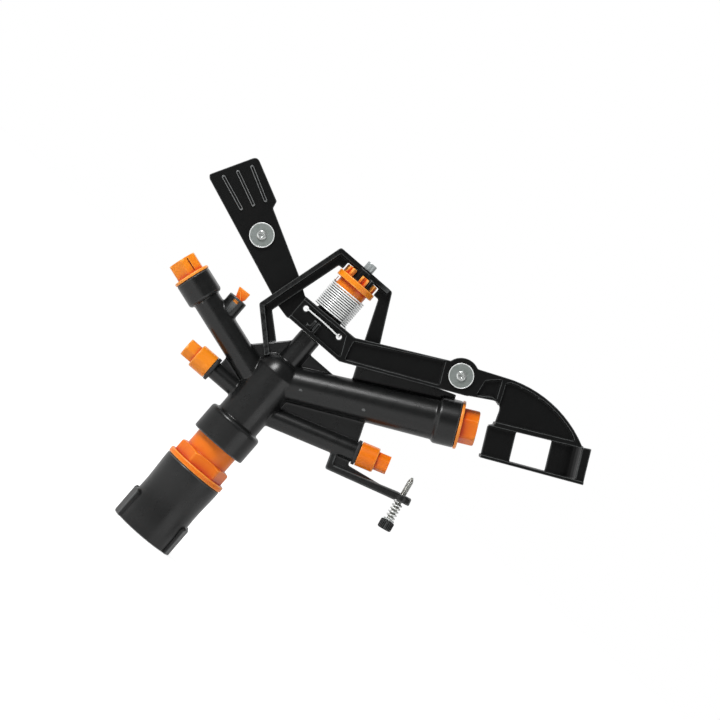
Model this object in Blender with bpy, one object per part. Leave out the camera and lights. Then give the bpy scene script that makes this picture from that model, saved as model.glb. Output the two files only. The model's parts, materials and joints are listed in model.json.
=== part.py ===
"""Impact sprinkler with four nozzles, on a female one-inch riser socket.

The origin is on the turning axis at the socket's lower face. +Z runs up the riser and +X
towards the main nozzle. Outlines are drawn in the XZ plane, which holds all four nozzles,
and are given their depth along Y. -Y is the front.
"""

import math

import bmesh
import bpy
from mathutils import Matrix, Vector

MM = 0.001

# Clearances
SEAT_GAP = 0.3 * MM
RUN_GAP = 0.35 * MM
LOOSE_GAP = 0.9 * MM

# Facets round a full turn
FINE_STEPS = 40
TUBE_STEPS = 28
SMALL_STEPS = 20

# Inlet socket, with a one-inch parallel pipe thread of 30.3 mm minor diameter
SOCKET_RADIUS = 19.6 * MM
SOCKET_HEIGHT = 48.2 * MM
SOCKET_WAIST = 0.7 * MM
THREAD_RADIUS = 15.15 * MM
THREAD_DEPTH = 22.0 * MM
SHELF_RADIUS = 12.4 * MM
SHELF_THICKNESS = 3.0 * MM
GASKET_THICKNESS = 2.0 * MM
LUG_HEIGHT = 19.8 * MM
LUG_PROUD = 1.5 * MM
LUG_WIDTH = 7.0 * MM
LUG_SPREAD = math.radians(20.0)
LUG_TURN = math.radians(4.0)

# Orange bearing sleeve
SLEEVE_FLANGE_RADIUS = 19.9 * MM
SLEEVE_FLANGE_THICKNESS = 3.3 * MM
HEX_CORNER_RADIUS = 18.1 * MM
HEX_HEIGHT = 7.8 * MM
HEX_CHAMFER = 1.6 * MM
HEX_TURN = math.radians(-20.0)
BARREL_RADIUS = 14.2 * MM
BARREL_SHOWS = 10.3 * MM
BARREL_HIDDEN = 8.0 * MM
SPIGOT_DEPTH = 15.0 * MM
SLEEVE_GASKET_THICKNESS = 1.4 * MM

# Bearing tube and its washers
TUBE_RADIUS = 9.6 * MM
TUBE_BORE = 8.0 * MM
TUBE_FLANGE_RADIUS = 13.2 * MM
TUBE_FLANGE_THICKNESS = 2.4 * MM
WASHER_THICKNESS = 1.2 * MM
DUST_WASHER_RADIUS = 13.6 * MM
TUBE_GRIP = 5.5 * MM

# Pressure spring round the bearing tube
PRESSURE_WIRE = 1.6 * MM
PRESSURE_TURNS = 4
PRESSURE_LENGTH = 11.5 * MM

# Black body: skirt, column, shoulder and neck
SKIRT_RADIUS = 18.0 * MM
SKIRT_HEIGHT = 17.8 * MM
SKIRT_EDGE = 2.2 * MM
COLUMN_RADIUS = 14.3 * MM
COLUMN_HEIGHT = 37.5 * MM
SHOULDER_HEIGHT = 8.7 * MM
SHOULDER_TOP_RADIUS = 9.0 * MM
NECK_RADIUS = 7.1 * MM
NECK_HEIGHT = 19.1 * MM
CHAMBER_RADIUS = 9.0 * MM
PLATE_HALF = 1.5 * MM
SKIRT_GAP = 1.0 * MM

# Main nozzle tube
MAIN_ANGLE = math.radians(27.25)
MAIN_ROOT_BELOW = 4.3 * MM
MAIN_ROOT_RADIUS = 10.9 * MM
MAIN_TUBE_RADIUS = 12.7 * MM
MAIN_BORE = 9.4 * MM
MAIN_REACH = 113.5 * MM
MAIN_COLLAR_RADIUS = 14.3 * MM
MAIN_COLLAR_LENGTH = 13.6 * MM
MAIN_SOCKET_RADIUS = 11.6 * MM
MAIN_SOCKET_DEPTH = 12.0 * MM

# Rear nozzle tube
REAR_ANGLE = math.radians(180.0 - 17.0)
REAR_ROOT_BELOW = 13.1 * MM
REAR_TUBE_RADIUS = 8.4 * MM
REAR_BORE = 6.2 * MM
REAR_REACH = 80.0 * MM
REAR_COLLAR_RADIUS = 11.0 * MM
REAR_COLLAR_LENGTH = 15.1 * MM
REAR_SOCKET_RADIUS = 8.9 * MM
REAR_SOCKET_DEPTH = 12.0 * MM

# Lower rear nozzle tube
LOWER_REAR_ANGLE = math.radians(180.0)
LOWER_REAR_ROOT_BELOW = 23.3 * MM
LOWER_REAR_RADIUS = 5.3 * MM
LOWER_REAR_BORE = 3.0 * MM
LOWER_REAR_REACH = 41.9 * MM
LOWER_REAR_CAP_RADIUS = 7.7 * MM

# Lower front nozzle tube
LOWER_FRONT_ANGLE = math.radians(18.2)
LOWER_FRONT_ROOT_BELOW = 26.4 * MM
LOWER_FRONT_RADIUS = 6.3 * MM
LOWER_FRONT_BORE = 3.4 * MM
LOWER_FRONT_REACH = 79.8 * MM
LOWER_FRONT_CAP_RADIUS = 7.6 * MM

# Caps of the two lower nozzles
CAP_LENGTH = 11.3 * MM
REAR_CAP_TIP_RADIUS = 6.6 * MM
REAR_CAP_TIP_TURN = math.radians(0.0)
FRONT_CAP_TIP_RADIUS = 6.0 * MM
FRONT_CAP_TIP_TURN = math.radians(-22.0)
CAP_TIP_LENGTH = 7.8 * MM
CAP_SPIGOT = 9.0 * MM
CAP_ORIFICE = 2.2 * MM
CAP_SEAL_THICKNESS = 2.2 * MM

# Main and rear nozzle inserts
RING_PROUD = 0.4 * MM
RING_THICKNESS = 1.8 * MM
MAIN_HEX_RADIUS = 11.1 * MM
MAIN_HEX_LENGTH = 9.7 * MM
MAIN_HEX_TURN = math.radians(-23.0)
MAIN_ORIFICE = 4.0 * MM
REAR_TIP_RADIUS = 9.7 * MM
REAR_TIP_LENGTH = 10.4 * MM
REAR_SLOT_WIDTH = 11.0 * MM
REAR_SLOT_HEIGHT = 2.6 * MM
REAR_SLIT_WIDTH = 0.8 * MM
REAR_SLIT_RISE = 3.6 * MM
REAR_SLIT_MARGIN = 1.3 * MM
INSERT_WALL = 2.0 * MM
SEAL_LENGTH = 2.0 * MM
STRAIGHTENER_START = 48.0 * MM
STRAIGHTENER_LENGTH = 26.0 * MM
STRAIGHTENER_WALL = 1.2 * MM
VANE_THICKNESS = 1.2 * MM
VANE_PLATES = 3

# Jet tap on the rear tube
TAP_REACH = 47.5 * MM
TAP_BOSS_RADIUS = 6.1 * MM
TAP_BOSS_RISE = 17.4 * MM
TAP_PLUG_RADIUS = 3.9 * MM
TAP_PLUG_DEPTH = 8.6 * MM
TAP_FLAG_HEIGHT = 6.3 * MM
TAP_FLAG_LENGTH = 7.8 * MM
TAP_FLAG_THICKNESS = 2.4 * MM
TAP_WINDOW_WIDTH = 3.9 * MM
TAP_WINDOW_HEIGHT = 1.8 * MM
TAP_WINDOW_BELOW = 1.5 * MM

# Flat plates in the nozzles' plane
NECK_PLATE_BELOW = 6.4 * MM
NECK_PLATE_REAR = 23.6 * MM
REAR_PLATE_REACH = 30.1 * MM
FRONT_PLATE_LEAN = math.radians(22.6)

# Bridge over the arm
BRIDGE_WEB = 5.8 * MM
BRIDGE_RIM = 3.1 * MM
BRIDGE_RIM_DEPTH = 6.0 * MM
BRIDGE_REAR_TOP = 21.0 * MM
BRIDGE_FRONT_TOP = 19.4 * MM
BRIDGE_REAR_KNEE = 36.3 * MM
BRIDGE_KNEE_BELOW = 3.4 * MM
BRIDGE_LEG_WIDTH = 8.1 * MM
BRIDGE_FOOT_REACH = 11.0 * MM
BRIDGE_CORNER = 1.6 * MM
FRONT_LEG_TOP_WIDTH = 6.6 * MM
FRONT_LEG_FOOT_WIDTH = 11.7 * MM
FRONT_LEG_FOOT_REACH = 28.5 * MM
FRONT_LEG_FOOT_RISE = 13.0 * MM
BRIDGE_BOSS_RADIUS = 7.4 * MM
BRIDGE_LUG_WIDTH = 3.0 * MM
BRIDGE_LUG_REACH = 10.4 * MM

# Fulcrum pin
PIN_RADIUS = 3.3 * MM
PIN_PROUD = 4.9 * MM
PIN_SEAT_DEPTH = 17.0 * MM
HUB_WASHER_RADIUS = 6.8 * MM
HUB_WASHER_THICKNESS = 1.4 * MM

# Impact arm: hub and beam
HUB_HEIGHT = 16.9 * MM
HUB_REAR = 17.3 * MM
HUB_FRONT = 22.4 * MM
HUB_BACK_DEPTH = 8.0 * MM
HUB_WALL = 2.4 * MM
HUB_BOSS_RADIUS = 7.8 * MM
HUB_RIB = 2.0 * MM
ARM_FRONT_DEPTH = 12.0 * MM
ARM_WEB_THICKNESS = 2.5 * MM
ARM_POCKET_DEPTH = 2.5 * MM
ARM_RIM = 2.1 * MM
BEAM_ANGLE = math.radians(25.7)
BEAM_WIDTH = 15.9 * MM
WEIGHT_REACH = 83.2 * MM
WEIGHT_RISE = 41.1 * MM
WEIGHT_BOSS_RADIUS = 10.8 * MM
BUSH_RADIUS = 5.4 * MM
BUSH_LENGTH = 6.5 * MM

# Impact arm: fin and spoon, measured along the main jet and square to it
SPOON_AHEAD = 17.2 * MM
SPOON_START = MAIN_REACH + SPOON_AHEAD
SPOON_LENGTH = 63.6 * MM
SPOON_END = SPOON_START + SPOON_LENGTH
SPOON_LOW = 15.8 * MM
SPOON_DROOP = 1.6 * MM
SPOON_HIGH = 4.6 * MM
SPOON_BACK_DEPTH = 11.0 * MM
SPOON_WALL = 2.0 * MM
WINDOW_AHEAD = 17.6 * MM
WINDOW_START = SPOON_START + WINDOW_AHEAD
WINDOW_LENGTH = 21.7 * MM
WINDOW_END = WINDOW_START + WINDOW_LENGTH
WINDOW_TOP = 3.9 * MM
POST_WIDTH = 5.4 * MM
VANE_LENGTH = 14.5 * MM
VANE_END = SPOON_END - POST_WIDTH + 2.1 * MM
VANE_START = VANE_END - VANE_LENGTH
VANE_BEND = math.radians(78.0)
FIN_RIB = 3.0 * MM
FIN_TIP = 11.0 * MM
FIN_START_AHEAD = 3.2 * MM
FIN_START_ABOVE = 34.0 * MM
FIN_PEAK_RUN = 32.5 * MM
FIN_CREST = 6.6 * MM
ARCH_AHEAD = 5.2 * MM
ARCH_ABOVE = 19.3 * MM
ARCH_RADIUS = 4.5 * MM
LINK_LENGTH = 21.5 * MM

# Impact arm: paddle
PADDLE_THICKNESS = 3.0 * MM
PADDLE_GAP = 0.9 * MM
PADDLE_END_REACH = 109.8 * MM
PADDLE_END_RISE = 33.5 * MM
PADDLE_TOP_REACH = 93.5 * MM
PADDLE_TOP_RISE = 60.9 * MM
PADDLE_STEP_REACH = 68.6 * MM
PADDLE_STEP_RISE = 48.1 * MM
PADDLE_STEP_DROP = 4.6 * MM
PADDLE_CORNER = 3.0 * MM
REAR_WEIGHT_AHEAD = 47.8 * MM
REAR_WEIGHT_REACH = PADDLE_END_REACH - REAR_WEIGHT_AHEAD
REAR_WEIGHT_RISE = 26.9 * MM
BEAD_COUNT = 3
BEAD_LENGTH = 23.4 * MM
BEAD_WIDTH = 2.4 * MM
BEAD_HEIGHT = 0.7 * MM
BEAD_BELOW = 6.5 * MM

# Balance weights and rivets
WEIGHT_RADIUS = 7.6 * MM
WEIGHT_THICKNESS = 1.2 * MM
RIVET_RADIUS = 1.9 * MM
RIVET_HEAD_RADIUS = 3.0 * MM
RIVET_HEAD_HEIGHT = 1.2 * MM

# Arm spring
SPRING_WIRE = 1.1 * MM
SPRING_RADIUS = 11.5 * MM
SPRING_TURNS = 11
SPRING_POINTS = 10
SPRING_LENGTH = 22.4 * MM
LEG_DROP = 5.9 * MM
LEG_HOLE_RADIUS = 1.8 * MM
LEG_ARCH = 0.5 * MM

# Castellated spring retainer
RETAINER_RADIUS = 13.0 * MM
RETAINER_THICKNESS = 3.8 * MM
RETAINER_SKIRT_DEPTH = 6.0 * MM
RETAINER_SKIRT_RADIUS = 9.9 * MM
RETAINER_SKIRT_WALL = 0.9 * MM
RETAINER_TRAVEL = 5.0 * MM
RETAINER_TABS = 6
RETAINER_TAB_HEIGHT = 4.9 * MM
RETAINER_TAB_OUTER = 11.3 * MM
RETAINER_TAB_WALL = 3.2 * MM
RETAINER_TAB_ANGLE = math.radians(27.0)
RETAINER_TURN = math.radians(13.0)

# Jet breaker bracket and screw
BRACKET_ANGLE = math.radians(17.7)
BRACKET_BAR = 4.0 * MM
BRACKET_START = 55.2 * MM
BRACKET_LOW = 16.1 * MM
BRACKET_HALF = 3.6 * MM
BRACKET_PAST = 1.6 * MM
BREAKER_TILT = math.radians(11.0)
BREAKER_AHEAD = 28.492 * MM
BREAKER_DROP = 13.3 * MM
BREAKER_BLOCK_HALF = 4.4 * MM
BREAKER_BLOCK_HEIGHT = 4.6 * MM
BREAKER_SCREW_RADIUS = 1.9 * MM
BREAKER_PROUD = 12.0 * MM
BREAKER_SPRING_LENGTH = 11.6 * MM
BREAKER_WIRE = 0.8 * MM
BREAKER_TURNS = 5
KNOB_RADIUS = 4.4 * MM
KNOB_HEIGHT = 5.8 * MM
KNOB_FLUTES = 12
BREAKER_WASHER_THICKNESS = 0.8 * MM

# Colour, roughness and metallic value of each finish
BLACK_PLASTIC = ((0.030, 0.031, 0.033), 0.48, 0.0)
ORANGE_PLASTIC = ((0.93, 0.25, 0.03), 0.38, 0.0)
RUBBER = ((0.020, 0.020, 0.022), 0.75, 0.0)
WHITE_PLASTIC = ((0.78, 0.78, 0.74), 0.45, 0.0)
ZINC_STEEL = ((0.62, 0.64, 0.62), 0.32, 1.0)
SPRING_STEEL = ((0.74, 0.75, 0.76), 0.22, 1.0)

# Heights of the stack, from the socket up
FLANGE_BASE = SOCKET_HEIGHT + SEAT_GAP
HEX_BASE = FLANGE_BASE + SLEEVE_FLANGE_THICKNESS
BARREL_BASE = HEX_BASE + HEX_HEIGHT
SKIRT_BASE = BARREL_BASE + BARREL_SHOWS
BARREL_TOP = SKIRT_BASE + BARREL_HIDDEN
SPIGOT_BASE = FLANGE_BASE - SPIGOT_DEPTH
SKIRT_TOP = SKIRT_BASE + SKIRT_HEIGHT
COLUMN_TOP = SKIRT_TOP + COLUMN_HEIGHT
NECK_BASE = COLUMN_TOP + SHOULDER_HEIGHT
NECK_TOP = NECK_BASE + NECK_HEIGHT
HUB_BASE = NECK_TOP + HUB_WASHER_THICKNESS + 2 * SEAT_GAP
HUB_TOP = HUB_BASE + HUB_HEIGHT
RETAINER_BASE = HUB_TOP + SPRING_LENGTH
RETAINER_TOP = RETAINER_BASE + RETAINER_THICKNESS
BRIDGE_INSIDE = RETAINER_TOP + SEAT_GAP
BRIDGE_TOP = BRIDGE_INSIDE + BRIDGE_WEB + BRIDGE_RIM
DUST_WASHER_BASE = BARREL_TOP + SEAT_GAP
PRESSURE_BASE = DUST_WASHER_BASE + WASHER_THICKNESS + SEAT_GAP
TUBE_SEAT_BASE = PRESSURE_BASE + PRESSURE_LENGTH + SEAT_GAP
TUBE_TOP = TUBE_SEAT_BASE + TUBE_GRIP
BREAKER_REACH = LOWER_FRONT_REACH * math.cos(LOWER_FRONT_ANGLE) + BREAKER_AHEAD

# Depths of the arm, from the front
ARM_FRONT = -ARM_FRONT_DEPTH
ARM_WEB_FRONT = ARM_FRONT + ARM_POCKET_DEPTH
ARM_WEB_BACK = ARM_WEB_FRONT + ARM_WEB_THICKNESS
ARM_STOP = -(PLATE_HALF + SEAT_GAP)
PADDLE_FRONT = PLATE_HALF + PADDLE_GAP
PADDLE_BACK = PADDLE_FRONT + PADDLE_THICKNESS


def clear_scene():
    for item in list(bpy.data.objects):
        bpy.data.objects.remove(item, do_unlink=True)


def finish_material(name, finish):
    colour, roughness, metallic = finish
    material = bpy.data.materials.new(name)
    material.use_nodes = True
    shader = material.node_tree.nodes["Principled BSDF"]
    shader.inputs["Base Color"].default_value = (*colour, 1.0)
    shader.inputs["Roughness"].default_value = roughness
    shader.inputs["Metallic"].default_value = metallic
    material.diffuse_color = (*colour, 1.0)
    return material


def link_mesh(name, shape):
    """Object made from a bmesh, with its faces turned outwards."""
    bmesh.ops.recalc_face_normals(shape, faces=shape.faces)
    mesh = bpy.data.meshes.new(name)
    shape.to_mesh(mesh)
    shape.free()
    item = bpy.data.objects.new(name, mesh)
    bpy.context.collection.objects.link(item)
    return item


def turned(name, profile, steps=SMALL_STEPS):
    """Solid turned about Z from (radius, height) points.

    A profile that starts and ends on the axis is left open there; any other is closed.
    """
    shape = bmesh.new()
    points = [shape.verts.new((radius, 0.0, height)) for radius, height in profile]
    edges = [shape.edges.new(pair) for pair in zip(points, points[1:])]
    if profile[0][0] > 0.0:
        edges.append(shape.edges.new((points[-1], points[0])))
    bmesh.ops.spin(
        shape,
        geom=points + edges,
        cent=(0, 0, 0),
        axis=(0, 0, 1),
        angle=2 * math.pi,
        steps=steps,
        use_merge=True,
    )
    bmesh.ops.remove_doubles(shape, verts=shape.verts, dist=1e-7)
    return link_mesh(name, shape)


def ring(name, inner, outer, low, high, steps=SMALL_STEPS):
    return turned(name, [(outer, low), (outer, high), (inner, high), (inner, low)], steps)


def rod(name, radius, low, high, steps=SMALL_STEPS):
    return turned(name, [(0.0, low), (radius, low), (radius, high), (0.0, high)], steps)


def rounded(corners, steps=4):
    """Outline points, with each (x, z, radius) corner turned into an arc."""
    outline = []
    for index, corner in enumerate(corners):
        here = Vector(corner[:2])
        radius = corner[2] if len(corner) > 2 else 0.0
        if radius <= 0.0:
            outline.append(tuple(here))
            continue
        back = (Vector(corners[index - 1][:2]) - here).normalized()
        ahead = (Vector(corners[(index + 1) % len(corners)][:2]) - here).normalized()
        half = back.angle(ahead) / 2
        centre = here + (back + ahead).normalized() * radius / math.sin(half)
        first = here + back * radius / math.tan(half) - centre
        last = here + ahead * radius / math.tan(half) - centre
        turn = first.angle_signed(last)
        for step in range(steps + 1):
            spoke = Matrix.Rotation(-turn * step / steps, 2) @ first
            outline.append(tuple(centre + spoke))
    return outline


def inset(outline, distance):
    """Outline moved inwards by one distance, or by a list with one for each edge."""
    count = len(outline)
    points = [Vector(point) for point in outline]
    moves = distance if isinstance(distance, list) else [distance] * count
    area = sum(a.x * b.y - b.x * a.y for a, b in zip(points, points[1:] + points[:1]))
    side = 1.0 if area > 0 else -1.0
    lines = []
    for index, start in enumerate(points):
        run = (points[(index + 1) % count] - start).normalized()
        normal = Vector((-run.y, run.x)) * side
        lines.append((start + normal * moves[index], run))
    moved = []
    for index in range(count):
        (a, along_a), (b, along_b) = lines[index - 1], lines[index]
        cross = along_a.x * along_b.y - along_a.y * along_b.x
        if abs(cross) < 1e-6:
            moved.append(tuple(b))
            continue
        reach = ((b - a).x * along_b.y - (b - a).y * along_b.x) / cross
        moved.append(tuple(a + along_a * reach))
    return moved


def prism(name, outline, near, far):
    """Solid with an outline in XZ and its depth along Y, from near to far."""
    shape = bmesh.new()
    face = shape.faces.new([shape.verts.new((x, near, z)) for x, z in outline])
    grown = bmesh.ops.extrude_face_region(shape, geom=[face])
    moved = [part for part in grown["geom"] if isinstance(part, bmesh.types.BMVert)]
    bmesh.ops.translate(shape, vec=(0, far - near, 0), verts=moved)
    return link_mesh(name, shape)


def box(name, low, high):
    outline = [(low[0], low[2]), (high[0], low[2]), (high[0], high[2]), (low[0], high[2])]
    return prism(name, outline, low[1], high[1])


def polygon_bar(name, sides, radius, low, high, turn=0.0, chamfer=0.0):
    """Upright bar with flat sides and, at its upper end, corners turned down to a cone."""
    angles = [turn + 2 * math.pi * side / sides for side in range(sides)]
    shape = bmesh.new()
    corners = [(radius * math.cos(a), radius * math.sin(a)) for a in angles]
    face = shape.faces.new([shape.verts.new((x, y, low)) for x, y in corners])
    grown = bmesh.ops.extrude_face_region(shape, geom=[face])
    moved = [part for part in grown["geom"] if isinstance(part, bmesh.types.BMVert)]
    bmesh.ops.translate(shape, vec=(0, 0, high - low), verts=moved)
    bar = link_mesh(name, shape)
    if chamfer > 0.0:
        flat = radius * math.cos(math.pi / sides)
        reach = radius + chamfer
        top = flat - chamfer / 2
        profile = [
            (0.0, low - chamfer),
            (reach, low - chamfer),
            (reach, high - (reach - top) / 2),
            (top, high),
            (0.0, high),
        ]
        combine(bar, "INTERSECT", turned(f"{name}_cone", profile, FINE_STEPS))
    return bar


def combine(target, operation, *tools, solver="EXACT"):
    """Boolean of the target with each tool, which is used up."""
    for tool in tools:
        modifier = target.modifiers.new("Join", "BOOLEAN")
        modifier.operation = operation
        modifier.solver = solver
        modifier.object = tool
        bpy.context.view_layer.update()
        graph = bpy.context.evaluated_depsgraph_get()
        joined = bpy.data.meshes.new_from_object(target.evaluated_get(graph))
        target.modifiers.remove(modifier)
        target.data = joined
        bpy.data.objects.remove(tool, do_unlink=True)
    return target


def join(target, *tools, solver="EXACT"):
    return combine(target, "UNION", *tools, solver=solver)


def cut(target, *tools, solver="EXACT"):
    return combine(target, "DIFFERENCE", *tools, solver=solver)


def lay(item, place, direction, spin=0.0):
    """Puts an object's Z along a direction, with its origin at a place."""
    aim = Vector(direction).to_track_quat("Z", "Y").to_matrix().to_4x4()
    item.matrix_world = Matrix.Translation(place) @ aim @ Matrix.Rotation(spin, 4, "Z")
    return item


def complete(item, material, parent=None, sharp=35.0):
    """Gives an object its material, smooth round faces and its parent."""
    item.data.materials.clear()
    item.data.materials.append(material)
    item.data.shade_smooth()
    item.data.set_sharp_from_angle(angle=math.radians(sharp))
    if parent is not None:
        place = item.matrix_world.copy()
        item.parent = parent
        bpy.context.view_layer.update()
        item.matrix_world = place
    return item


def pivot(name, place, parent=None, direction=(0, 0, 1)):
    """Empty on a joint's axis, which carries the pieces that move about it."""
    item = bpy.data.objects.new(name, None)
    item.empty_display_size = 10 * MM
    bpy.context.collection.objects.link(item)
    lay(item, place, direction)
    bpy.context.view_layer.update()
    if parent is not None:
        matrix = item.matrix_world.copy()
        item.parent = parent
        item.matrix_world = matrix
        bpy.context.view_layer.update()
    return item


def carry(item, carrier):
    """Moves an object's origin onto its carrier's, with its shape where it was."""
    shift = carrier.matrix_world.inverted() @ item.matrix_world
    item.data.transform(shift)
    item.matrix_world = carrier.matrix_world.copy()
    return item


def wire(name, points, diameter, resolution=1):
    """Round wire along a path, with closed ends."""
    curve = bpy.data.curves.new(name, "CURVE")
    curve.dimensions = "3D"
    curve.bevel_depth = diameter / 2
    curve.bevel_resolution = resolution
    curve.use_fill_caps = True
    curve.resolution_u = 1
    spline = curve.splines.new("POLY")
    spline.points.add(len(points) - 1)
    for point, place in zip(spline.points, points):
        point.co = (*place, 1.0)
    item = bpy.data.objects.new(name, curve)
    bpy.context.collection.objects.link(item)
    return item


def solid_wire(name, points, diameter):
    """Wire turned into a mesh object."""
    source = wire(f"{name}_path", points, diameter)
    bpy.context.view_layer.update()
    graph = bpy.context.evaluated_depsgraph_get()
    mesh = bpy.data.meshes.new_from_object(source.evaluated_get(graph))
    mesh.name = name
    shape = bmesh.new()
    shape.from_mesh(mesh)
    bmesh.ops.remove_doubles(shape, verts=shape.verts, dist=1e-6)
    bmesh.ops.recalc_face_normals(shape, faces=shape.faces)
    shape.to_mesh(mesh)
    shape.free()
    bpy.data.objects.remove(source, do_unlink=True)
    item = bpy.data.objects.new(name, mesh)
    bpy.context.collection.objects.link(item)
    return item


def coil(radius, low, high, turns, per_turn):
    """Points of a helix about Z, from angle 0 at its lower end."""
    count = turns * per_turn
    points = []
    for index in range(count + 1):
        angle = 2 * math.pi * index / per_turn
        height = low + (high - low) * index / count
        points.append(Vector((radius * math.cos(angle), radius * math.sin(angle), height)))
    return points


def rounded_path(points, radius, steps=3):
    """Path with each inner corner replaced by an arc's points."""
    path = [points[0]]
    for back, here, ahead in zip(points, points[1:], points[2:]):
        first = here + (back - here).normalized() * radius
        last = here + (ahead - here).normalized() * radius
        for step in range(steps + 1):
            share = step / steps
            one = first.lerp(here, share)
            two = here.lerp(last, share)
            path.append(one.lerp(two, share))
    path.append(points[-1])
    return path


def print_least_gap(name, points, diameter, apart):
    """Prints the smallest gap between stretches of a wire that are some points apart."""
    least = min(
        (one - two).length
        for index, one in enumerate(points)
        for two in points[index + apart :]
    )
    print(f"{name}: least gap to itself {(least - diameter) / MM:.2f} mm")


class Axis:
    """Line of a nozzle in the XZ plane, which starts on the turning axis."""

    def __init__(self, height, angle):
        self.height = height
        self.angle = angle

    def point(self, along, across=0.0):
        """XZ point at a distance along the line and a distance square to it, upwards."""
        upward = 1.0 if math.cos(self.angle) > 0 else -1.0
        x = along * math.cos(self.angle) - upward * across * math.sin(self.angle)
        z = self.height + along * math.sin(self.angle) + upward * across * math.cos(self.angle)
        return (x, z)

    def lay(self, item, along=0.0, spin=0.0):
        x, z = self.point(along)
        direction = (math.cos(self.angle), 0, math.sin(self.angle))
        return lay(item, (x, 0, z), direction, spin)


MAIN = Axis(COLUMN_TOP - MAIN_ROOT_BELOW, MAIN_ANGLE)
REAR = Axis(COLUMN_TOP - REAR_ROOT_BELOW, REAR_ANGLE)
LOWER_REAR = Axis(COLUMN_TOP - LOWER_REAR_ROOT_BELOW, LOWER_REAR_ANGLE)
LOWER_FRONT = Axis(COLUMN_TOP - LOWER_FRONT_ROOT_BELOW, LOWER_FRONT_ANGLE)


def breaker_axis():
    """Place of the screw at the bracket's block, and its upward direction."""
    direction = Vector((-math.sin(BREAKER_TILT), 0, math.cos(BREAKER_TILT)))
    x, z = LOWER_FRONT.point(BREAKER_REACH / math.cos(LOWER_FRONT_ANGLE), 0.0)
    centre = Vector((BREAKER_REACH, 0, z - BREAKER_DROP - BREAKER_BLOCK_HEIGHT / 2))
    return centre, direction


def base_pieces(materials):
    """Socket, sleeve and the two rings that seal them."""
    outside = [
        (SOCKET_RADIUS - 0.4 * MM, 0.0),
        (SOCKET_RADIUS, 1.0 * MM),
        (SOCKET_RADIUS - SOCKET_WAIST * 0.6, SOCKET_HEIGHT * 0.4),
        (SOCKET_RADIUS - SOCKET_WAIST, SOCKET_HEIGHT * 0.56),
        (SOCKET_RADIUS - SOCKET_WAIST * 0.4, SOCKET_HEIGHT * 0.72),
        (SOCKET_RADIUS, SOCKET_HEIGHT * 0.88),
        (SOCKET_RADIUS, SOCKET_HEIGHT),
    ]
    shelf_top = THREAD_DEPTH + SHELF_THICKNESS
    groove_radius = THREAD_RADIUS + 1.6 * MM
    groove_floor = SOCKET_HEIGHT - SLEEVE_GASKET_THICKNESS - SEAT_GAP
    inside = [
        (groove_radius, SOCKET_HEIGHT),
        (groove_radius, groove_floor),
        (THREAD_RADIUS, groove_floor),
        (THREAD_RADIUS, shelf_top),
        (SHELF_RADIUS, shelf_top),
        (SHELF_RADIUS, THREAD_DEPTH),
        (THREAD_RADIUS, THREAD_DEPTH),
        (THREAD_RADIUS, 1.2 * MM),
        (THREAD_RADIUS + 1.2 * MM, 0.0),
    ]
    socket = turned("inlet_socket", outside + inside, FINE_STEPS)
    for index in range(4):
        spread = LUG_SPREAD if index % 2 else -LUG_SPREAD
        angle = LUG_TURN + math.pi * (index // 2) + spread
        lug_corner = LUG_WIDTH * 0.45
        lug = prism(
            "lug",
            rounded(
                [
                    (-LUG_WIDTH / 2, 0.0),
                    (LUG_WIDTH / 2, 0.0),
                    (LUG_WIDTH / 2, LUG_HEIGHT, lug_corner),
                    (-LUG_WIDTH / 2, LUG_HEIGHT, lug_corner),
                ]
            ),
            -(SOCKET_RADIUS + LUG_PROUD),
            -(SOCKET_RADIUS + THREAD_RADIUS) / 2,
        )
        lug.matrix_world = Matrix.Rotation(angle + math.pi / 2, 4, "Z")
        join(socket, lug)
    complete(socket, materials["black"])

    gasket_inner = SHELF_RADIUS + 0.2 * MM
    gasket_outer = THREAD_RADIUS - SEAT_GAP
    gasket_top = THREAD_DEPTH - SEAT_GAP
    gasket = ring("inlet_gasket", gasket_inner, gasket_outer, gasket_top - GASKET_THICKNESS, gasket_top)
    complete(gasket, materials["rubber"])

    spigot = THREAD_RADIUS - SEAT_GAP
    bore = TUBE_RADIUS + RUN_GAP
    sleeve = turned(
        "bearing_sleeve",
        [
            (spigot - 0.8 * MM, SPIGOT_BASE),
            (spigot, SPIGOT_BASE + 0.8 * MM),
            (spigot, FLANGE_BASE),
            (SLEEVE_FLANGE_RADIUS, FLANGE_BASE),
            (SLEEVE_FLANGE_RADIUS, HEX_BASE - 0.4 * MM),
            (SLEEVE_FLANGE_RADIUS - 0.4 * MM, HEX_BASE),
            (BARREL_RADIUS, HEX_BASE),
            (BARREL_RADIUS, BARREL_TOP - 1.0 * MM),
            (BARREL_RADIUS - 1.0 * MM, BARREL_TOP),
            (bore, BARREL_TOP),
            (bore, SPIGOT_BASE),
        ],
        FINE_STEPS,
    )
    nut = polygon_bar(
        "nut",
        6,
        HEX_CORNER_RADIUS,
        HEX_BASE - 0.5 * MM,
        BARREL_BASE,
        HEX_TURN - math.pi / 2,
        HEX_CHAMFER,
    )
    cut(nut, rod("nut_bore", (BARREL_RADIUS + bore) / 2, 0.0, SKIRT_BASE, TUBE_STEPS))
    join(sleeve, nut)
    complete(sleeve, materials["orange"])

    seal = ring(
        "sleeve_gasket",
        spigot + SEAT_GAP,
        groove_radius - SEAT_GAP,
        groove_floor + SEAT_GAP,
        groove_floor + SLEEVE_GASKET_THICKNESS,
        TUBE_STEPS,
    )
    complete(seal, materials["rubber"])


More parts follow.
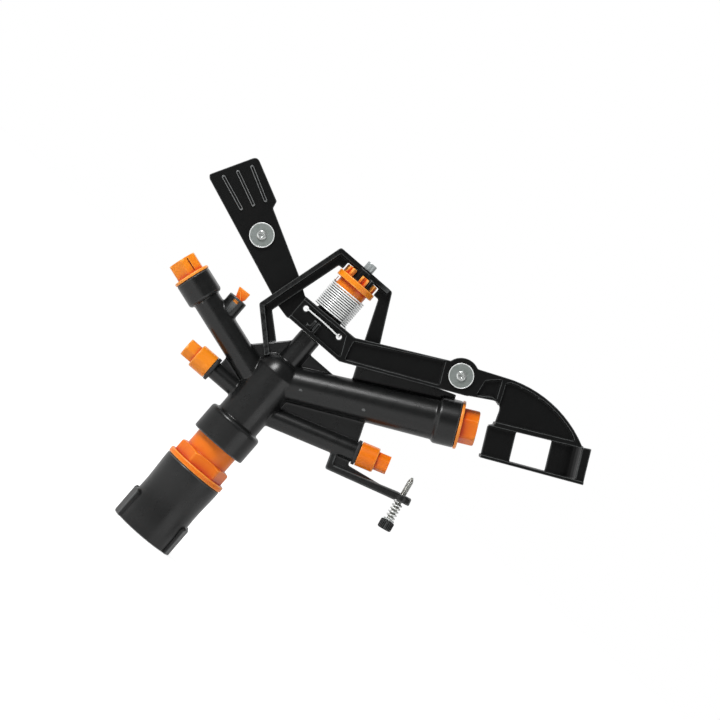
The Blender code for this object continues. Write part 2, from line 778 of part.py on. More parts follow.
def bearing_pieces(materials, head):
    """Tube that turns in the sleeve, its washers and the spring that loads them."""
    washers_top = SPIGOT_BASE - SEAT_GAP
    seal_base = washers_top - WASHER_THICKNESS
    thrust_base = seal_base - SEAT_GAP - WASHER_THICKNESS
    flange_top = thrust_base - SEAT_GAP
    flange_base = flange_top - TUBE_FLANGE_THICKNESS
    tube = turned(
        "bearing_tube",
        [
            (TUBE_FLANGE_RADIUS, flange_base),
            (TUBE_FLANGE_RADIUS, flange_top),
            (TUBE_RADIUS, flange_top),
            (TUBE_RADIUS, TUBE_TOP),
            (TUBE_BORE, TUBE_TOP),
            (TUBE_BORE, flange_base),
        ],
        TUBE_STEPS,
    )
    complete(tube, materials["white"], head)
    inner = TUBE_RADIUS + SEAT_GAP
    thrust = ring(
        "thrust_washer", inner, TUBE_FLANGE_RADIUS, thrust_base, thrust_base + WASHER_THICKNESS, TUBE_STEPS
    )
    complete(thrust, materials["white"], head)
    seal = ring("seal_washer", inner, TUBE_FLANGE_RADIUS, seal_base, seal_base + WASHER_THICKNESS, TUBE_STEPS)
    complete(seal, materials["rubber"], head)
    dust = ring(
        "dust_washer",
        inner,
        DUST_WASHER_RADIUS,
        DUST_WASHER_BASE,
        DUST_WASHER_BASE + WASHER_THICKNESS,
        TUBE_STEPS,
    )
    complete(dust, materials["white"], head)
    radius = TUBE_RADIUS + PRESSURE_WIRE / 2 + 2.4 * SEAT_GAP
    low = PRESSURE_BASE + PRESSURE_WIRE / 2
    high = PRESSURE_BASE + PRESSURE_LENGTH - PRESSURE_WIRE / 2
    points = coil(radius, low, high, PRESSURE_TURNS, SPRING_POINTS)
    print_least_gap("pressure_spring", points, PRESSURE_WIRE, SPRING_POINTS // 2)
    spring = solid_wire("pressure_spring", points, PRESSURE_WIRE)
    complete(spring, materials["spring"], head)


def nozzle_tube(name, axis, root, radius, reach, steps):
    """Outside of a nozzle tube, with its root near the turning axis."""
    start = COLUMN_RADIUS * 0.3
    tube = turned(
        name,
        [(0.0, start), (root, start), (radius, reach), (0.0, reach)],
        steps,
    )
    return axis.lay(tube)


def collar(name, axis, radius, length, reach, steps):
    """Thicker end of a tube, with a small lead-in at its inner edge."""
    lead = 0.8 * MM
    shape = turned(
        name,
        [
            (0.0, reach - length),
            (radius - lead, reach - length),
            (radius, reach - length + lead),
            (radius, reach),
            (0.0, reach),
        ],
        steps,
    )
    return axis.lay(shape)


def shoulder_profile(grown):
    """Rounded shoulder from the column to the neck, grown outwards and upwards by a gap."""
    sweep = math.radians(68)
    points = []
    for step in range(5):
        angle = sweep * step / 4
        drop = (1 - math.cos(angle)) / (1 - math.cos(sweep))
        radius = COLUMN_RADIUS - (COLUMN_RADIUS - SHOULDER_TOP_RADIUS) * drop
        height = COLUMN_TOP + SHOULDER_HEIGHT * math.sin(angle) / math.sin(sweep)
        points.append((radius + grown, height + grown))
    return points


def body_outside():
    """Skirt, column, shoulder, neck, tubes and plates as one solid."""
    profile = [(0.0, SKIRT_BASE), (SKIRT_RADIUS, SKIRT_BASE)]
    for step in range(4):
        angle = math.pi / 2 * step / 3
        profile.append(
            (
                SKIRT_RADIUS - SKIRT_EDGE * (1 - math.cos(angle)),
                SKIRT_TOP - SKIRT_EDGE * (1 - math.sin(angle)),
            )
        )
    profile.append((COLUMN_RADIUS, SKIRT_TOP))
    profile += shoulder_profile(0.0)
    profile += [(NECK_RADIUS, NECK_BASE + 0.6 * MM), (NECK_RADIUS, NECK_TOP), (0.0, NECK_TOP)]
    body = turned("nozzle_body", profile, FINE_STEPS)
    join(
        body,
        nozzle_tube("main", MAIN, MAIN_ROOT_RADIUS, MAIN_TUBE_RADIUS, MAIN_REACH - 1 * MM, TUBE_STEPS),
        collar("main_end", MAIN, MAIN_COLLAR_RADIUS, MAIN_COLLAR_LENGTH, MAIN_REACH, FINE_STEPS),
        nozzle_tube("rear", REAR, REAR_TUBE_RADIUS, REAR_TUBE_RADIUS, REAR_REACH - 1 * MM, TUBE_STEPS),
        collar("rear_end", REAR, REAR_COLLAR_RADIUS, REAR_COLLAR_LENGTH, REAR_REACH, TUBE_STEPS),
        nozzle_tube(
            "low_rear", LOWER_REAR, LOWER_REAR_RADIUS, LOWER_REAR_RADIUS, LOWER_REAR_REACH, SMALL_STEPS
        ),
        nozzle_tube(
            "low_front", LOWER_FRONT, LOWER_FRONT_RADIUS, LOWER_FRONT_RADIUS, LOWER_FRONT_REACH, SMALL_STEPS
        ),
        solver="MANIFOLD",
    )
    for outline in plate_outlines():
        join(body, prism("plate", outline, -PLATE_HALF, PLATE_HALF), solver="MANIFOLD")
    boss_x, boss_z = REAR.point(TAP_REACH / math.cos(math.pi - REAR_ANGLE))
    boss = rod("boss", TAP_BOSS_RADIUS, boss_z, boss_z + TAP_BOSS_RISE, SMALL_STEPS)
    join(body, lay(boss, (boss_x, 0, 0), (0, 0, 1)), bracket(), solver="MANIFOLD")
    return body


def plate_outlines():
    """Flat plates between the tubes and round the neck, in the nozzles' plane."""
    plate_top = NECK_TOP - NECK_PLATE_BELOW
    neck_side = NECK_RADIUS
    rear_x = -NECK_PLATE_REAR
    rear_z = REAR.point(NECK_PLATE_REAR / math.cos(math.pi - REAR_ANGLE), REAR_TUBE_RADIUS)[1]
    front_x = (plate_top - MAIN.height) / math.tan(MAIN_ANGLE)
    neck = [
        (0.0, NECK_BASE - SHOULDER_HEIGHT),
        (rear_x + 3 * MM, rear_z - 4 * MM),
        (rear_x, rear_z + 0.8 * MM),
        (-neck_side + 0.5 * MM, plate_top),
        (front_x, plate_top),
    ]
    rear_low = LOWER_REAR.point(REAR_PLATE_REACH)
    rear_high = REAR.point(REAR_PLATE_REACH / math.cos(math.pi - REAR_ANGLE))
    rear = [
        (-COLUMN_RADIUS * 0.6, LOWER_REAR.height),
        rear_low,
        rear_high,
        (-COLUMN_RADIUS * 0.6, REAR.height),
    ]
    seal_start = LOWER_FRONT_REACH - CAP_SPIGOT - CAP_SEAL_THICKNESS
    low_edge = LOWER_FRONT.point(seal_start - 0.5 * MM)
    middle = LOWER_FRONT.point(seal_start - 0.5 * MM, LOWER_FRONT_CAP_RADIUS + 1.4 * MM)
    rise = MAIN_TUBE_RADIUS + 2 * MM
    high_edge = (middle[0] - rise * math.tan(FRONT_PLATE_LEAN), middle[1] + rise)
    front = [
        (COLUMN_RADIUS * 0.6, LOWER_FRONT.height),
        low_edge,
        middle,
        high_edge,
        (COLUMN_RADIUS * 0.6, MAIN.height),
    ]
    return [neck, rear, front, gusset_outline()]


def front_leg_line(height):
    """X of the front leg's inner edge at a height."""
    top_x = BRIDGE_FRONT_TOP - FRONT_LEG_TOP_WIDTH + BRIDGE_RIM
    foot_z = HUB_BASE + FRONT_LEG_FOOT_RISE
    share = (BRIDGE_INSIDE - height) / (BRIDGE_INSIDE - foot_z)
    return top_x + (FRONT_LEG_FOOT_REACH - top_x) * share


def gusset_outline():
    """Upright plate on the main tube, which carries the bridge's front leg."""
    top = HUB_BASE + FRONT_LEG_FOOT_RISE - SEAT_GAP
    left = front_leg_line(top)
    tube_height = top - 20 * MM
    foot = front_leg_line(tube_height)
    leg_right = left + FRONT_LEG_FOOT_WIDTH
    end_along = MAIN_REACH - 1.0 * MM
    end = MAIN.point(end_along, MAIN_COLLAR_RADIUS + 2.8 * MM)
    root = MAIN.point(end_along - 2.0 * MM, MAIN_TUBE_RADIUS * 0.5)
    return [
        (left, top),
        (foot, tube_height),
        (foot + 3 * MM, MAIN.point(foot / math.cos(MAIN_ANGLE))[1]),
        root,
        end,
        (leg_right, top),
    ]


def bracket():
    """Bar under the lower front nozzle with the block that holds the breaker screw."""
    line = Axis(LOWER_FRONT.height, LOWER_FRONT_ANGLE)
    start = BRACKET_START
    centre, up = breaker_axis()
    across = Vector((up.z, 0, -up.x))
    block_end = centre + across * BREAKER_BLOCK_HALF
    low_start = line.point(start + 0.6 * MM, -BRACKET_LOW)
    slope = Vector((math.cos(BRACKET_ANGLE), math.sin(BRACKET_ANGLE)))
    rise = Vector((-slope.y, slope.x))
    corner = Vector(low_start)
    far = Vector((block_end.x, block_end.z)) + slope * BRACKET_PAST
    far -= rise * BREAKER_BLOCK_HEIGHT / 2
    notch_reach = LOWER_FRONT_REACH - CAP_SPIGOT - CAP_SEAL_THICKNESS - 0.6 * MM
    notch = Vector(line.point(notch_reach, -LOWER_FRONT_CAP_RADIUS - 1.4 * MM))
    bar = prism(
        "bracket",
        rounded(
            [
                line.point(start, -2 * MM),
                (*corner, 1.2 * MM),
                tuple(far),
                tuple(far + rise * BREAKER_BLOCK_HEIGHT),
                tuple(notch),
                line.point(notch_reach, -2 * MM),
            ]
        ),
        -BRACKET_HALF,
        BRACKET_HALF,
    )
    inner_corner = corner + slope * BRACKET_BAR * 0.9 + rise * BRACKET_BAR
    inner_far = far - slope * (BRACKET_PAST + 2.4 * BREAKER_BLOCK_HALF) + rise * BRACKET_BAR
    recess = [
        tuple(Vector(line.point(start + 3.8 * MM, -2 * MM))),
        tuple(inner_corner),
        tuple(inner_far),
        tuple(inner_far + rise * 6 * MM),
        tuple(notch + rise * 3 * MM + slope * 3 * MM),
        tuple(Vector(line.point(LOWER_FRONT_REACH - 6 * MM, 0.0))),
    ]
    cut(bar, prism("recess", recess, -BRACKET_HALF - MM, -PLATE_HALF))
    cut(bar, prism("recess", recess, PLATE_HALF, BRACKET_HALF + MM))
    block = rod(
        "block",
        BREAKER_BLOCK_HALF,
        -BREAKER_BLOCK_HEIGHT / 2,
        BREAKER_BLOCK_HEIGHT / 2,
        SMALL_STEPS,
    )
    join(bar, lay(block, centre, up))
    return bar


def body_pieces(materials, head):
    """Black body with its bores, and the caps and rings of the lower nozzles."""
    body = body_outside()
    skirt_bore = BARREL_RADIUS + SKIRT_GAP
    chamber_top = COLUMN_TOP + SHOULDER_HEIGHT * 0.2
    spring_room = max(DUST_WASHER_RADIUS, TUBE_RADIUS + PRESSURE_WIRE + 3.4 * SEAT_GAP) - 0.8 * MM
    inside = turned(
        "inside",
        [
            (0.0, SKIRT_BASE - MM),
            (skirt_bore, SKIRT_BASE - MM),
            (skirt_bore, DUST_WASHER_BASE + WASHER_THICKNESS + SEAT_GAP),
            (spring_room, DUST_WASHER_BASE + WASHER_THICKNESS + SEAT_GAP + MM),
            (spring_room, TUBE_SEAT_BASE),
            (TUBE_RADIUS + SEAT_GAP, TUBE_SEAT_BASE),
            (TUBE_RADIUS + SEAT_GAP, TUBE_TOP + SEAT_GAP),
            (CHAMBER_RADIUS, TUBE_TOP + SEAT_GAP),
            (CHAMBER_RADIUS, COLUMN_TOP - MM),
            (CHAMBER_RADIUS * 0.5, chamber_top),
            (0.0, chamber_top),
        ],
        TUBE_STEPS,
    )
    cut(body, inside, solver="MANIFOLD")
    start = CHAMBER_RADIUS * 0.35
    small_bores = [
        (LOWER_REAR, LOWER_REAR_BORE, LOWER_REAR_REACH),
        (LOWER_FRONT, LOWER_FRONT_BORE, LOWER_FRONT_REACH),
    ]
    for axis, radius, reach in small_bores:
        bore = axis.lay(rod("bore", radius, start, reach + MM, SMALL_STEPS))
        cut(body, bore, solver="MANIFOLD")
    stepped_bores = [
        (MAIN, MAIN_BORE, MAIN_REACH, MAIN_SOCKET_RADIUS, MAIN_SOCKET_DEPTH),
        (REAR, REAR_BORE, REAR_REACH, REAR_SOCKET_RADIUS, REAR_SOCKET_DEPTH),
    ]
    for axis, radius, reach, socket, depth in stepped_bores:
        profile = [
            (0.0, start),
            (radius, start),
            (radius, reach - depth),
            (socket, reach - depth),
            (socket, reach + MM),
            (0.0, reach + MM),
        ]
        cut(body, axis.lay(turned("bore", profile, TUBE_STEPS)), solver="MANIFOLD")
    pin_hole = rod("pin_hole", PIN_RADIUS + SEAT_GAP, NECK_TOP - PIN_SEAT_DEPTH, NECK_TOP + MM)
    cut(body, pin_hole, solver="MANIFOLD")

    tap_x, tap_z = REAR.point(TAP_REACH / math.cos(math.pi - REAR_ANGLE))
    boss_top = tap_z + TAP_BOSS_RISE
    plug_hole = rod(
        "plug_hole", TAP_PLUG_RADIUS + SEAT_GAP, boss_top - TAP_PLUG_DEPTH - SEAT_GAP, boss_top + MM
    )
    cut(body, lay(plug_hole, (tap_x, 0, 0), (0, 0, 1)), solver="MANIFOLD")
    window_top = boss_top - TAP_WINDOW_BELOW
    window = box(
        "window",
        (tap_x - TAP_WINDOW_WIDTH / 2, -TAP_BOSS_RADIUS - MM, window_top - TAP_WINDOW_HEIGHT),
        (tap_x + TAP_WINDOW_WIDTH / 2, -TAP_PLUG_RADIUS / 2, window_top),
    )
    cut(body, window, solver="MANIFOLD")
    centre, up = breaker_axis()
    screw_hole = rod(
        "screw_hole",
        BREAKER_SCREW_RADIUS + SEAT_GAP,
        -BREAKER_BLOCK_HEIGHT,
        BREAKER_BLOCK_HEIGHT,
        SMALL_STEPS,
    )
    spring_room = rod(
        "spring_room",
        BREAKER_BLOCK_HALF,
        -BREAKER_BLOCK_HEIGHT / 2 - BREAKER_SPRING_LENGTH,
        -BREAKER_BLOCK_HEIGHT / 2,
        SMALL_STEPS,
    )
    cut(body, lay(screw_hole, centre, up), lay(spring_room, centre, up), solver="MANIFOLD")
    complete(body, materials["black"], head)

    caps = [
        ("lower_rear", LOWER_REAR, LOWER_REAR_RADIUS, LOWER_REAR_REACH, LOWER_REAR_CAP_RADIUS),
        ("lower_front", LOWER_FRONT, LOWER_FRONT_RADIUS, LOWER_FRONT_REACH, LOWER_FRONT_CAP_RADIUS),
    ]
    tips = [(REAR_CAP_TIP_RADIUS, REAR_CAP_TIP_TURN), (FRONT_CAP_TIP_RADIUS, FRONT_CAP_TIP_TURN)]
    for (name, axis, tube, reach, radius), tip in zip(caps, tips):
        cap = nozzle_cap(f"{name}_cap", tube, radius, *tip)
        axis.lay(cap, reach - CAP_SPIGOT + SEAT_GAP)
        complete(cap, materials["orange"], head)
        seal = ring(f"{name}_seal", tube + SEAT_GAP, radius + 0.1 * MM, -CAP_SEAL_THICKNESS, 0.0)
        axis.lay(seal, reach - CAP_SPIGOT)
        complete(seal, materials["rubber"], head)


def nozzle_cap(name, tube, radius, tip_radius, tip_turn):
    """Cap over a tube's end, with a hexagonal tip and a round orifice."""
    bore = tube + SEAT_GAP
    shoulder = CAP_SPIGOT
    cap = turned(
        name,
        [
            (bore, 0.0),
            (radius - 0.3 * MM, 0.0),
            (radius, 0.4 * MM),
            (radius, CAP_LENGTH - 0.5 * MM),
            (radius - 0.5 * MM, CAP_LENGTH),
            (CAP_ORIFICE, CAP_LENGTH),
            (CAP_ORIFICE * 1.4, shoulder),
            (bore, shoulder),
        ],
        TUBE_STEPS,
    )
    tip = polygon_bar(
        f"{name}_tip",
        6,
        tip_radius,
        CAP_LENGTH - 0.5 * MM,
        CAP_LENGTH + CAP_TIP_LENGTH,
        tip_turn,
        0.6 * MM,
    )
    join(cap, tip)
    cut(cap, rod("orifice", CAP_ORIFICE, shoulder - 1 * MM, CAP_LENGTH + CAP_TIP_LENGTH + MM))
    return cap


def insert_pieces(materials, head):
    """Main and rear nozzles, their seals and the straightener in the main tube."""
    spigot = MAIN_SOCKET_RADIUS - SEAT_GAP
    depth = MAIN_SOCKET_DEPTH - SEAL_LENGTH - 2 * SEAT_GAP
    bore = spigot - INSERT_WALL
    hex_top = RING_THICKNESS + MAIN_HEX_LENGTH
    main = turned(
        "main_nozzle",
        [
            (spigot, -depth),
            (spigot, 0.0),
            (MAIN_COLLAR_RADIUS + RING_PROUD, 0.0),
            (MAIN_COLLAR_RADIUS + RING_PROUD, RING_THICKNESS - 0.5 * MM),
            (MAIN_COLLAR_RADIUS + RING_PROUD - 0.5 * MM, RING_THICKNESS),
            (MAIN_ORIFICE, RING_THICKNESS),
            (bore, -depth),
        ],
        FINE_STEPS,
    )
    tip = polygon_bar(
        "hex", 6, MAIN_HEX_RADIUS, RING_THICKNESS - 0.5 * MM, hex_top, MAIN_HEX_TURN, 1.0 * MM
    )
    join(main, tip)
    cut(main, rod("orifice", MAIN_ORIFICE, -MM, hex_top + MM))
    MAIN.lay(main, MAIN_REACH + SEAT_GAP)
    complete(main, materials["orange"], head)
    seal = ring("main_nozzle_seal", bore, spigot, 0.0, SEAL_LENGTH, TUBE_STEPS)
    MAIN.lay(seal, MAIN_REACH - MAIN_SOCKET_DEPTH + SEAT_GAP)
    complete(seal, materials["rubber"], head)

    vane_radius = MAIN_BORE - SEAT_GAP
    tube = ring(
        "stream_straightener",
        vane_radius - STRAIGHTENER_WALL,
        vane_radius,
        0.0,
        STRAIGHTENER_LENGTH,
        SMALL_STEPS,
    )
    for index in range(VANE_PLATES):
        vane = box(
            "vane",
            (-vane_radius + STRAIGHTENER_WALL / 2, -VANE_THICKNESS / 2, MM),
            (vane_radius - STRAIGHTENER_WALL / 2, VANE_THICKNESS / 2, STRAIGHTENER_LENGTH - MM),
        )
        vane.matrix_world = Matrix.Rotation(math.pi * index / VANE_PLATES, 4, "Z")
        join(tube, vane)
    MAIN.lay(tube, STRAIGHTENER_START)
    complete(tube, materials["white"], head)

    spigot = REAR_SOCKET_RADIUS - SEAT_GAP
    depth = REAR_SOCKET_DEPTH - SEAL_LENGTH - 2 * SEAT_GAP
    bore = spigot - INSERT_WALL
    tip_top = RING_THICKNESS + REAR_TIP_LENGTH
    rear = turned(
        "rear_nozzle",
        [
            (spigot, -depth),
            (spigot, 0.0),
            (REAR_COLLAR_RADIUS + RING_PROUD, 0.0),
            (REAR_COLLAR_RADIUS + RING_PROUD, RING_THICKNESS - 0.5 * MM),
            (REAR_COLLAR_RADIUS + RING_PROUD - 0.5 * MM, RING_THICKNESS),
            (bore, RING_THICKNESS),
            (bore, -depth),
        ],
        TUBE_STEPS,
    )
    tip = polygon_bar("tip", 6, REAR_TIP_RADIUS, RING_THICKNESS - 0.5 * MM, tip_top, 0.0, 0.8 * MM)
    join(rear, tip)
    hollow = REAR_TIP_RADIUS * math.cos(math.pi / 6) - INSERT_WALL
    cut(rear, rod("hollow", hollow, RING_THICKNESS - 2 * MM, tip_top - INSERT_WALL))
    slot = box(
        "slot",
        (-REAR_SLOT_HEIGHT / 2, -REAR_SLOT_WIDTH / 2, tip_top - 2 * INSERT_WALL),
        (REAR_SLOT_HEIGHT / 2, REAR_SLOT_WIDTH / 2, tip_top + MM),
    )
    slit_corners = [
        (hollow * 0.6, RING_THICKNESS + REAR_SLIT_MARGIN),
        (REAR_TIP_RADIUS, RING_THICKNESS + REAR_SLIT_MARGIN),
        (REAR_TIP_RADIUS, tip_top - REAR_SLIT_MARGIN),
        (hollow * 0.6, tip_top - REAR_SLIT_MARGIN),
    ]
    slit_low = REAR_SLIT_RISE - REAR_SLIT_WIDTH / 2
    slit = prism("slit", slit_corners, slit_low, slit_low + REAR_SLIT_WIDTH)
    cut(rear, slot, slit)
    REAR.lay(rear, REAR_REACH + SEAT_GAP)
    complete(rear, materials["orange"], head)
    seal = ring("rear_nozzle_seal", bore, spigot, 0.0, SEAL_LENGTH, TUBE_STEPS)
    REAR.lay(seal, REAR_REACH - REAR_SOCKET_DEPTH + SEAT_GAP)
    complete(seal, materials["rubber"], head)


def bridge_outlines():
    """Outer and inner edge of the bridge, from its rear foot over the top to its front foot."""
    knee = (-BRIDGE_REAR_KNEE, HUB_BASE - BRIDGE_KNEE_BELOW)
    foot = Vector((-BRIDGE_FOOT_REACH, NECK_BASE - 2.2 * MM))
    run = (foot - Vector(knee)).normalized()
    side = Vector((-run.y, run.x))
    outer_foot = foot - side * BRIDGE_LEG_WIDTH / 2
    inner_foot = foot + side * BRIDGE_LEG_WIDTH / 2
    foot_z = HUB_BASE + FRONT_LEG_FOOT_RISE
    foot_x = front_leg_line(foot_z)
    outer = [
        tuple(outer_foot),
        (knee[0], knee[1] - 1.6 * MM, BRIDGE_CORNER),
        (-BRIDGE_REAR_TOP, BRIDGE_TOP, BRIDGE_CORNER),
        (BRIDGE_FRONT_TOP, BRIDGE_TOP, BRIDGE_CORNER),
        (foot_x + FRONT_LEG_FOOT_WIDTH, foot_z),
    ]
    band = BRIDGE_RIM + BRIDGE_WEB
    side_band = BRIDGE_LEG_WIDTH
    lean = (BRIDGE_REAR_KNEE - BRIDGE_REAR_TOP) / (BRIDGE_TOP - knee[1])
    knee_z = knee[1] + 0.4 * MM
    inner_knee_x = -BRIDGE_REAR_KNEE + side_band * math.sqrt(1 + lean * lean)
    inner_top_x = inner_knee_x + lean * (BRIDGE_TOP - band - knee_z)
    inner = [
        (foot_x, foot_z),
        (front_leg_line(BRIDGE_INSIDE), BRIDGE_INSIDE),
        (inner_top_x, BRIDGE_INSIDE),
        (inner_knee_x, knee_z),
        tuple(inner_foot),
    ]
    return outer, inner


def bridge_pieces(materials, head):
    """Bridge: a thin web with a deep rim round its outer edge, and the pin's boss."""
    outer, inner = bridge_outlines()
    outline = rounded(outer) + inner
    bridge = prism("bridge", outline, -PLATE_HALF, PLATE_HALF)
    corners = [Vector(point[:2]) for point in outer]
    rim_inner = offset_line(corners, BRIDGE_RIM)
    rear_rim = rounded([tuple(corners[0]), *outer[1:3], tuple(midpoint(corners[2], corners[3]))])
    rear_rim += [
        midpoint(rim_inner[2], rim_inner[3]),
        rim_inner[2],
        rim_inner[1],
        rim_inner[0],
    ]
    front_rim = rounded([tuple(midpoint(corners[2], corners[3])), outer[3], tuple(corners[4])])
    front_rim += [rim_inner[4], rim_inner[3], midpoint(rim_inner[2], rim_inner[3])]
    join(bridge, prism("rear_rim", rear_rim, -BRIDGE_RIM_DEPTH, PLATE_HALF))
    join(bridge, prism("front_rim", front_rim, -PLATE_HALF, BRIDGE_RIM_DEPTH))
    top_rim = [
        (-BRIDGE_REAR_TOP + BRIDGE_CORNER, BRIDGE_TOP - BRIDGE_RIM),
        (BRIDGE_FRONT_TOP - BRIDGE_CORNER, BRIDGE_TOP - BRIDGE_RIM),
        (BRIDGE_FRONT_TOP - BRIDGE_CORNER, BRIDGE_TOP),
        (-BRIDGE_REAR_TOP + BRIDGE_CORNER, BRIDGE_TOP),
    ]
    join(bridge, prism("top_rim", top_rim, -BRIDGE_RIM_DEPTH, BRIDGE_RIM_DEPTH))
    tabs_top = RETAINER_TOP + RETAINER_TAB_HEIGHT + SEAT_GAP
    cut(bridge, rod("tab_room", RETAINER_TAB_OUTER + LOOSE_GAP, BRIDGE_INSIDE - MM, tabs_top, TUBE_STEPS))
    join(bridge, rod("pin_boss", BRIDGE_BOSS_RADIUS, BRIDGE_INSIDE, BRIDGE_TOP - MM, SMALL_STEPS))
    for side in (-1, 1):
        lug = box(
            "lug",
            (BRIDGE_BOSS_RADIUS - 2 * MM, -BRIDGE_LUG_WIDTH / 2, BRIDGE_INSIDE),
            (BRIDGE_LUG_REACH, BRIDGE_LUG_WIDTH / 2, tabs_top + MM),
        )
        angle = RETAINER_TURN + side * math.pi / 2 + math.pi / RETAINER_TABS
        lug.matrix_world = Matrix.Rotation(angle, 4, "Z")
        join(bridge, lug)
    cut(bridge, rod("pin_hole", PIN_RADIUS + SEAT_GAP, BRIDGE_INSIDE - MM, BRIDGE_TOP + MM))
    shoulder = shoulder_cutter()
    cut(bridge, shoulder)
    cut(bridge, prism("plate_room", neck_plate_room(), -PLATE_HALF - SEAT_GAP, PLATE_HALF + SEAT_GAP))
    complete(bridge, materials["black"], head)

    pin_base = NECK_TOP - PIN_SEAT_DEPTH + SEAT_GAP
    pin_top = BRIDGE_TOP + PIN_PROUD
    pin = turned(
        "fulcrum_pin",
        [
            (0.0, pin_base),
            (PIN_RADIUS, pin_base),
            (PIN_RADIUS, pin_top - 0.5 * MM),
            (PIN_RADIUS - 0.5 * MM, pin_top),
            (0.0, pin_top),
        ],
        SMALL_STEPS,
    )
    complete(pin, materials["zinc"], head)
    washer_base = NECK_TOP + SEAT_GAP
    washer = ring(
        "hub_washer",
        PIN_RADIUS + SEAT_GAP,
        HUB_WASHER_RADIUS,
        washer_base,
        washer_base + HUB_WASHER_THICKNESS,
    )
    complete(washer, materials["white"], head)


def midpoint(one, two):
    return tuple((Vector(one) + Vector(two)) / 2)


def offset_line(corners, distance):
    """Open line moved to its right-hand side by a distance, with its last point kept level."""
    moved = inset([tuple(point) for point in corners], distance)
    first_run = (corners[1] - corners[0]).normalized()
    last_run = (corners[-1] - corners[-2]).normalized()
    moved[0] = tuple(corners[0] + Vector((first_run.y, -first_run.x)) * distance)
    moved[-1] = (corners[-1].x + distance / last_run.y, corners[-1].y)
    return moved


def shoulder_cutter():
    """Room round the body's shoulder and column for the bridge's rear foot."""
    return turned(
        "shoulder",
        [
            (0.0, COLUMN_TOP - 20 * MM),
            (COLUMN_RADIUS + SEAT_GAP, COLUMN_TOP - 20 * MM),
            *shoulder_profile(SEAT_GAP),
            (NECK_RADIUS + SEAT_GAP, NECK_BASE + 1.2 * MM),
            (NECK_RADIUS + SEAT_GAP, NECK_TOP),
            (0.0, NECK_TOP),
        ],
        TUBE_STEPS,
    )


def neck_plate_room():
    """Room for the plate behind the bridge's rear foot."""
    outline = plate_outlines()[0]
    return inset(outline, -SEAT_GAP)


def arm_pieces(materials, arm):
    """Impact arm, its bushes, weights, rivets and spring."""
    body = arm_hub()
    join(body, arm_beam())
    join(body, arm_spoon(), solver="MANIFOLD")
    join(body, arm_paddle())
    cut(body, rod("bush_hole", BUSH_RADIUS + SEAT_GAP, HUB_BASE - MM, RETAINER_BASE, SMALL_STEPS))
    for reach, rise in ((WEIGHT_REACH, WEIGHT_RISE), (-REAR_WEIGHT_REACH, REAR_WEIGHT_RISE)):
        hole = rod("rivet_hole", RIVET_RADIUS + SEAT_GAP, -20 * MM, 20 * MM, SMALL_STEPS)
        cut(body, lay(hole, (reach, 0, HUB_BASE + rise), (0, 1, 0)))
    carry(body, arm)
    complete(body, materials["black"], arm)

    bush_bore = PIN_RADIUS + RUN_GAP
    lower_base = HUB_BASE + SEAT_GAP
    upper_base = HUB_TOP - SEAT_GAP - BUSH_LENGTH
    for name, base in (("arm_bush_lower", lower_base), ("arm_bush_upper", upper_base)):
        bush = ring(name, bush_bore, BUSH_RADIUS, base, base + BUSH_LENGTH)
        complete(carry(bush, arm), materials["white"], arm)

    weights = [
        ("front", WEIGHT_REACH, WEIGHT_RISE, ARM_FRONT, ARM_STOP),
        ("rear", -REAR_WEIGHT_REACH, REAR_WEIGHT_RISE, PADDLE_FRONT, PADDLE_BACK),
    ]
    for name, reach, rise, face, back in weights:
        place = (reach, face - SEAT_GAP, HUB_BASE + rise)
        disc = ring(
            f"{name}_weight", RIVET_RADIUS + SEAT_GAP, WEIGHT_RADIUS, 0.0, WEIGHT_THICKNESS, TUBE_STEPS
        )
        complete(carry(lay(disc, place, (0, -1, 0)), arm), materials["zinc"], arm)
        head_base = WEIGHT_THICKNESS + SEAT_GAP
        tail = -(back - face) - 2 * SEAT_GAP
        rivet = turned(
            f"{name}_rivet",
            [
                (0.0, tail - RIVET_HEAD_HEIGHT * 0.7),
                (RIVET_HEAD_RADIUS, tail - RIVET_HEAD_HEIGHT * 0.7),
                (RIVET_HEAD_RADIUS, tail),
                (RIVET_RADIUS, tail),
                (RIVET_RADIUS, head_base),
                (RIVET_HEAD_RADIUS, head_base),
                (RIVET_HEAD_RADIUS * 0.92, head_base + RIVET_HEAD_HEIGHT * 0.6),
                (RIVET_HEAD_RADIUS * 0.6, head_base + RIVET_HEAD_HEIGHT),
                (RIVET_HEAD_RADIUS * 0.45, head_base + RIVET_HEAD_HEIGHT),
                (RIVET_HEAD_RADIUS * 0.3, head_base + RIVET_HEAD_HEIGHT * 0.5),
                (0.0, head_base + RIVET_HEAD_HEIGHT * 0.5),
            ],
            SMALL_STEPS,
        )
        complete(carry(lay(rivet, place, (0, -1, 0)), arm), materials["zinc"], arm)

    points = arm_spring_points()
    print_least_gap("arm_spring", points, SPRING_WIRE, SPRING_POINTS // 2)
    spring = solid_wire("arm_spring", points, SPRING_WIRE)
    complete(carry(spring, arm), materials["spring"], arm)


def leg_height():
    return HUB_TOP - LEG_DROP


def leg_reach():
    return SPRING_RADIUS + 1.4 * MM


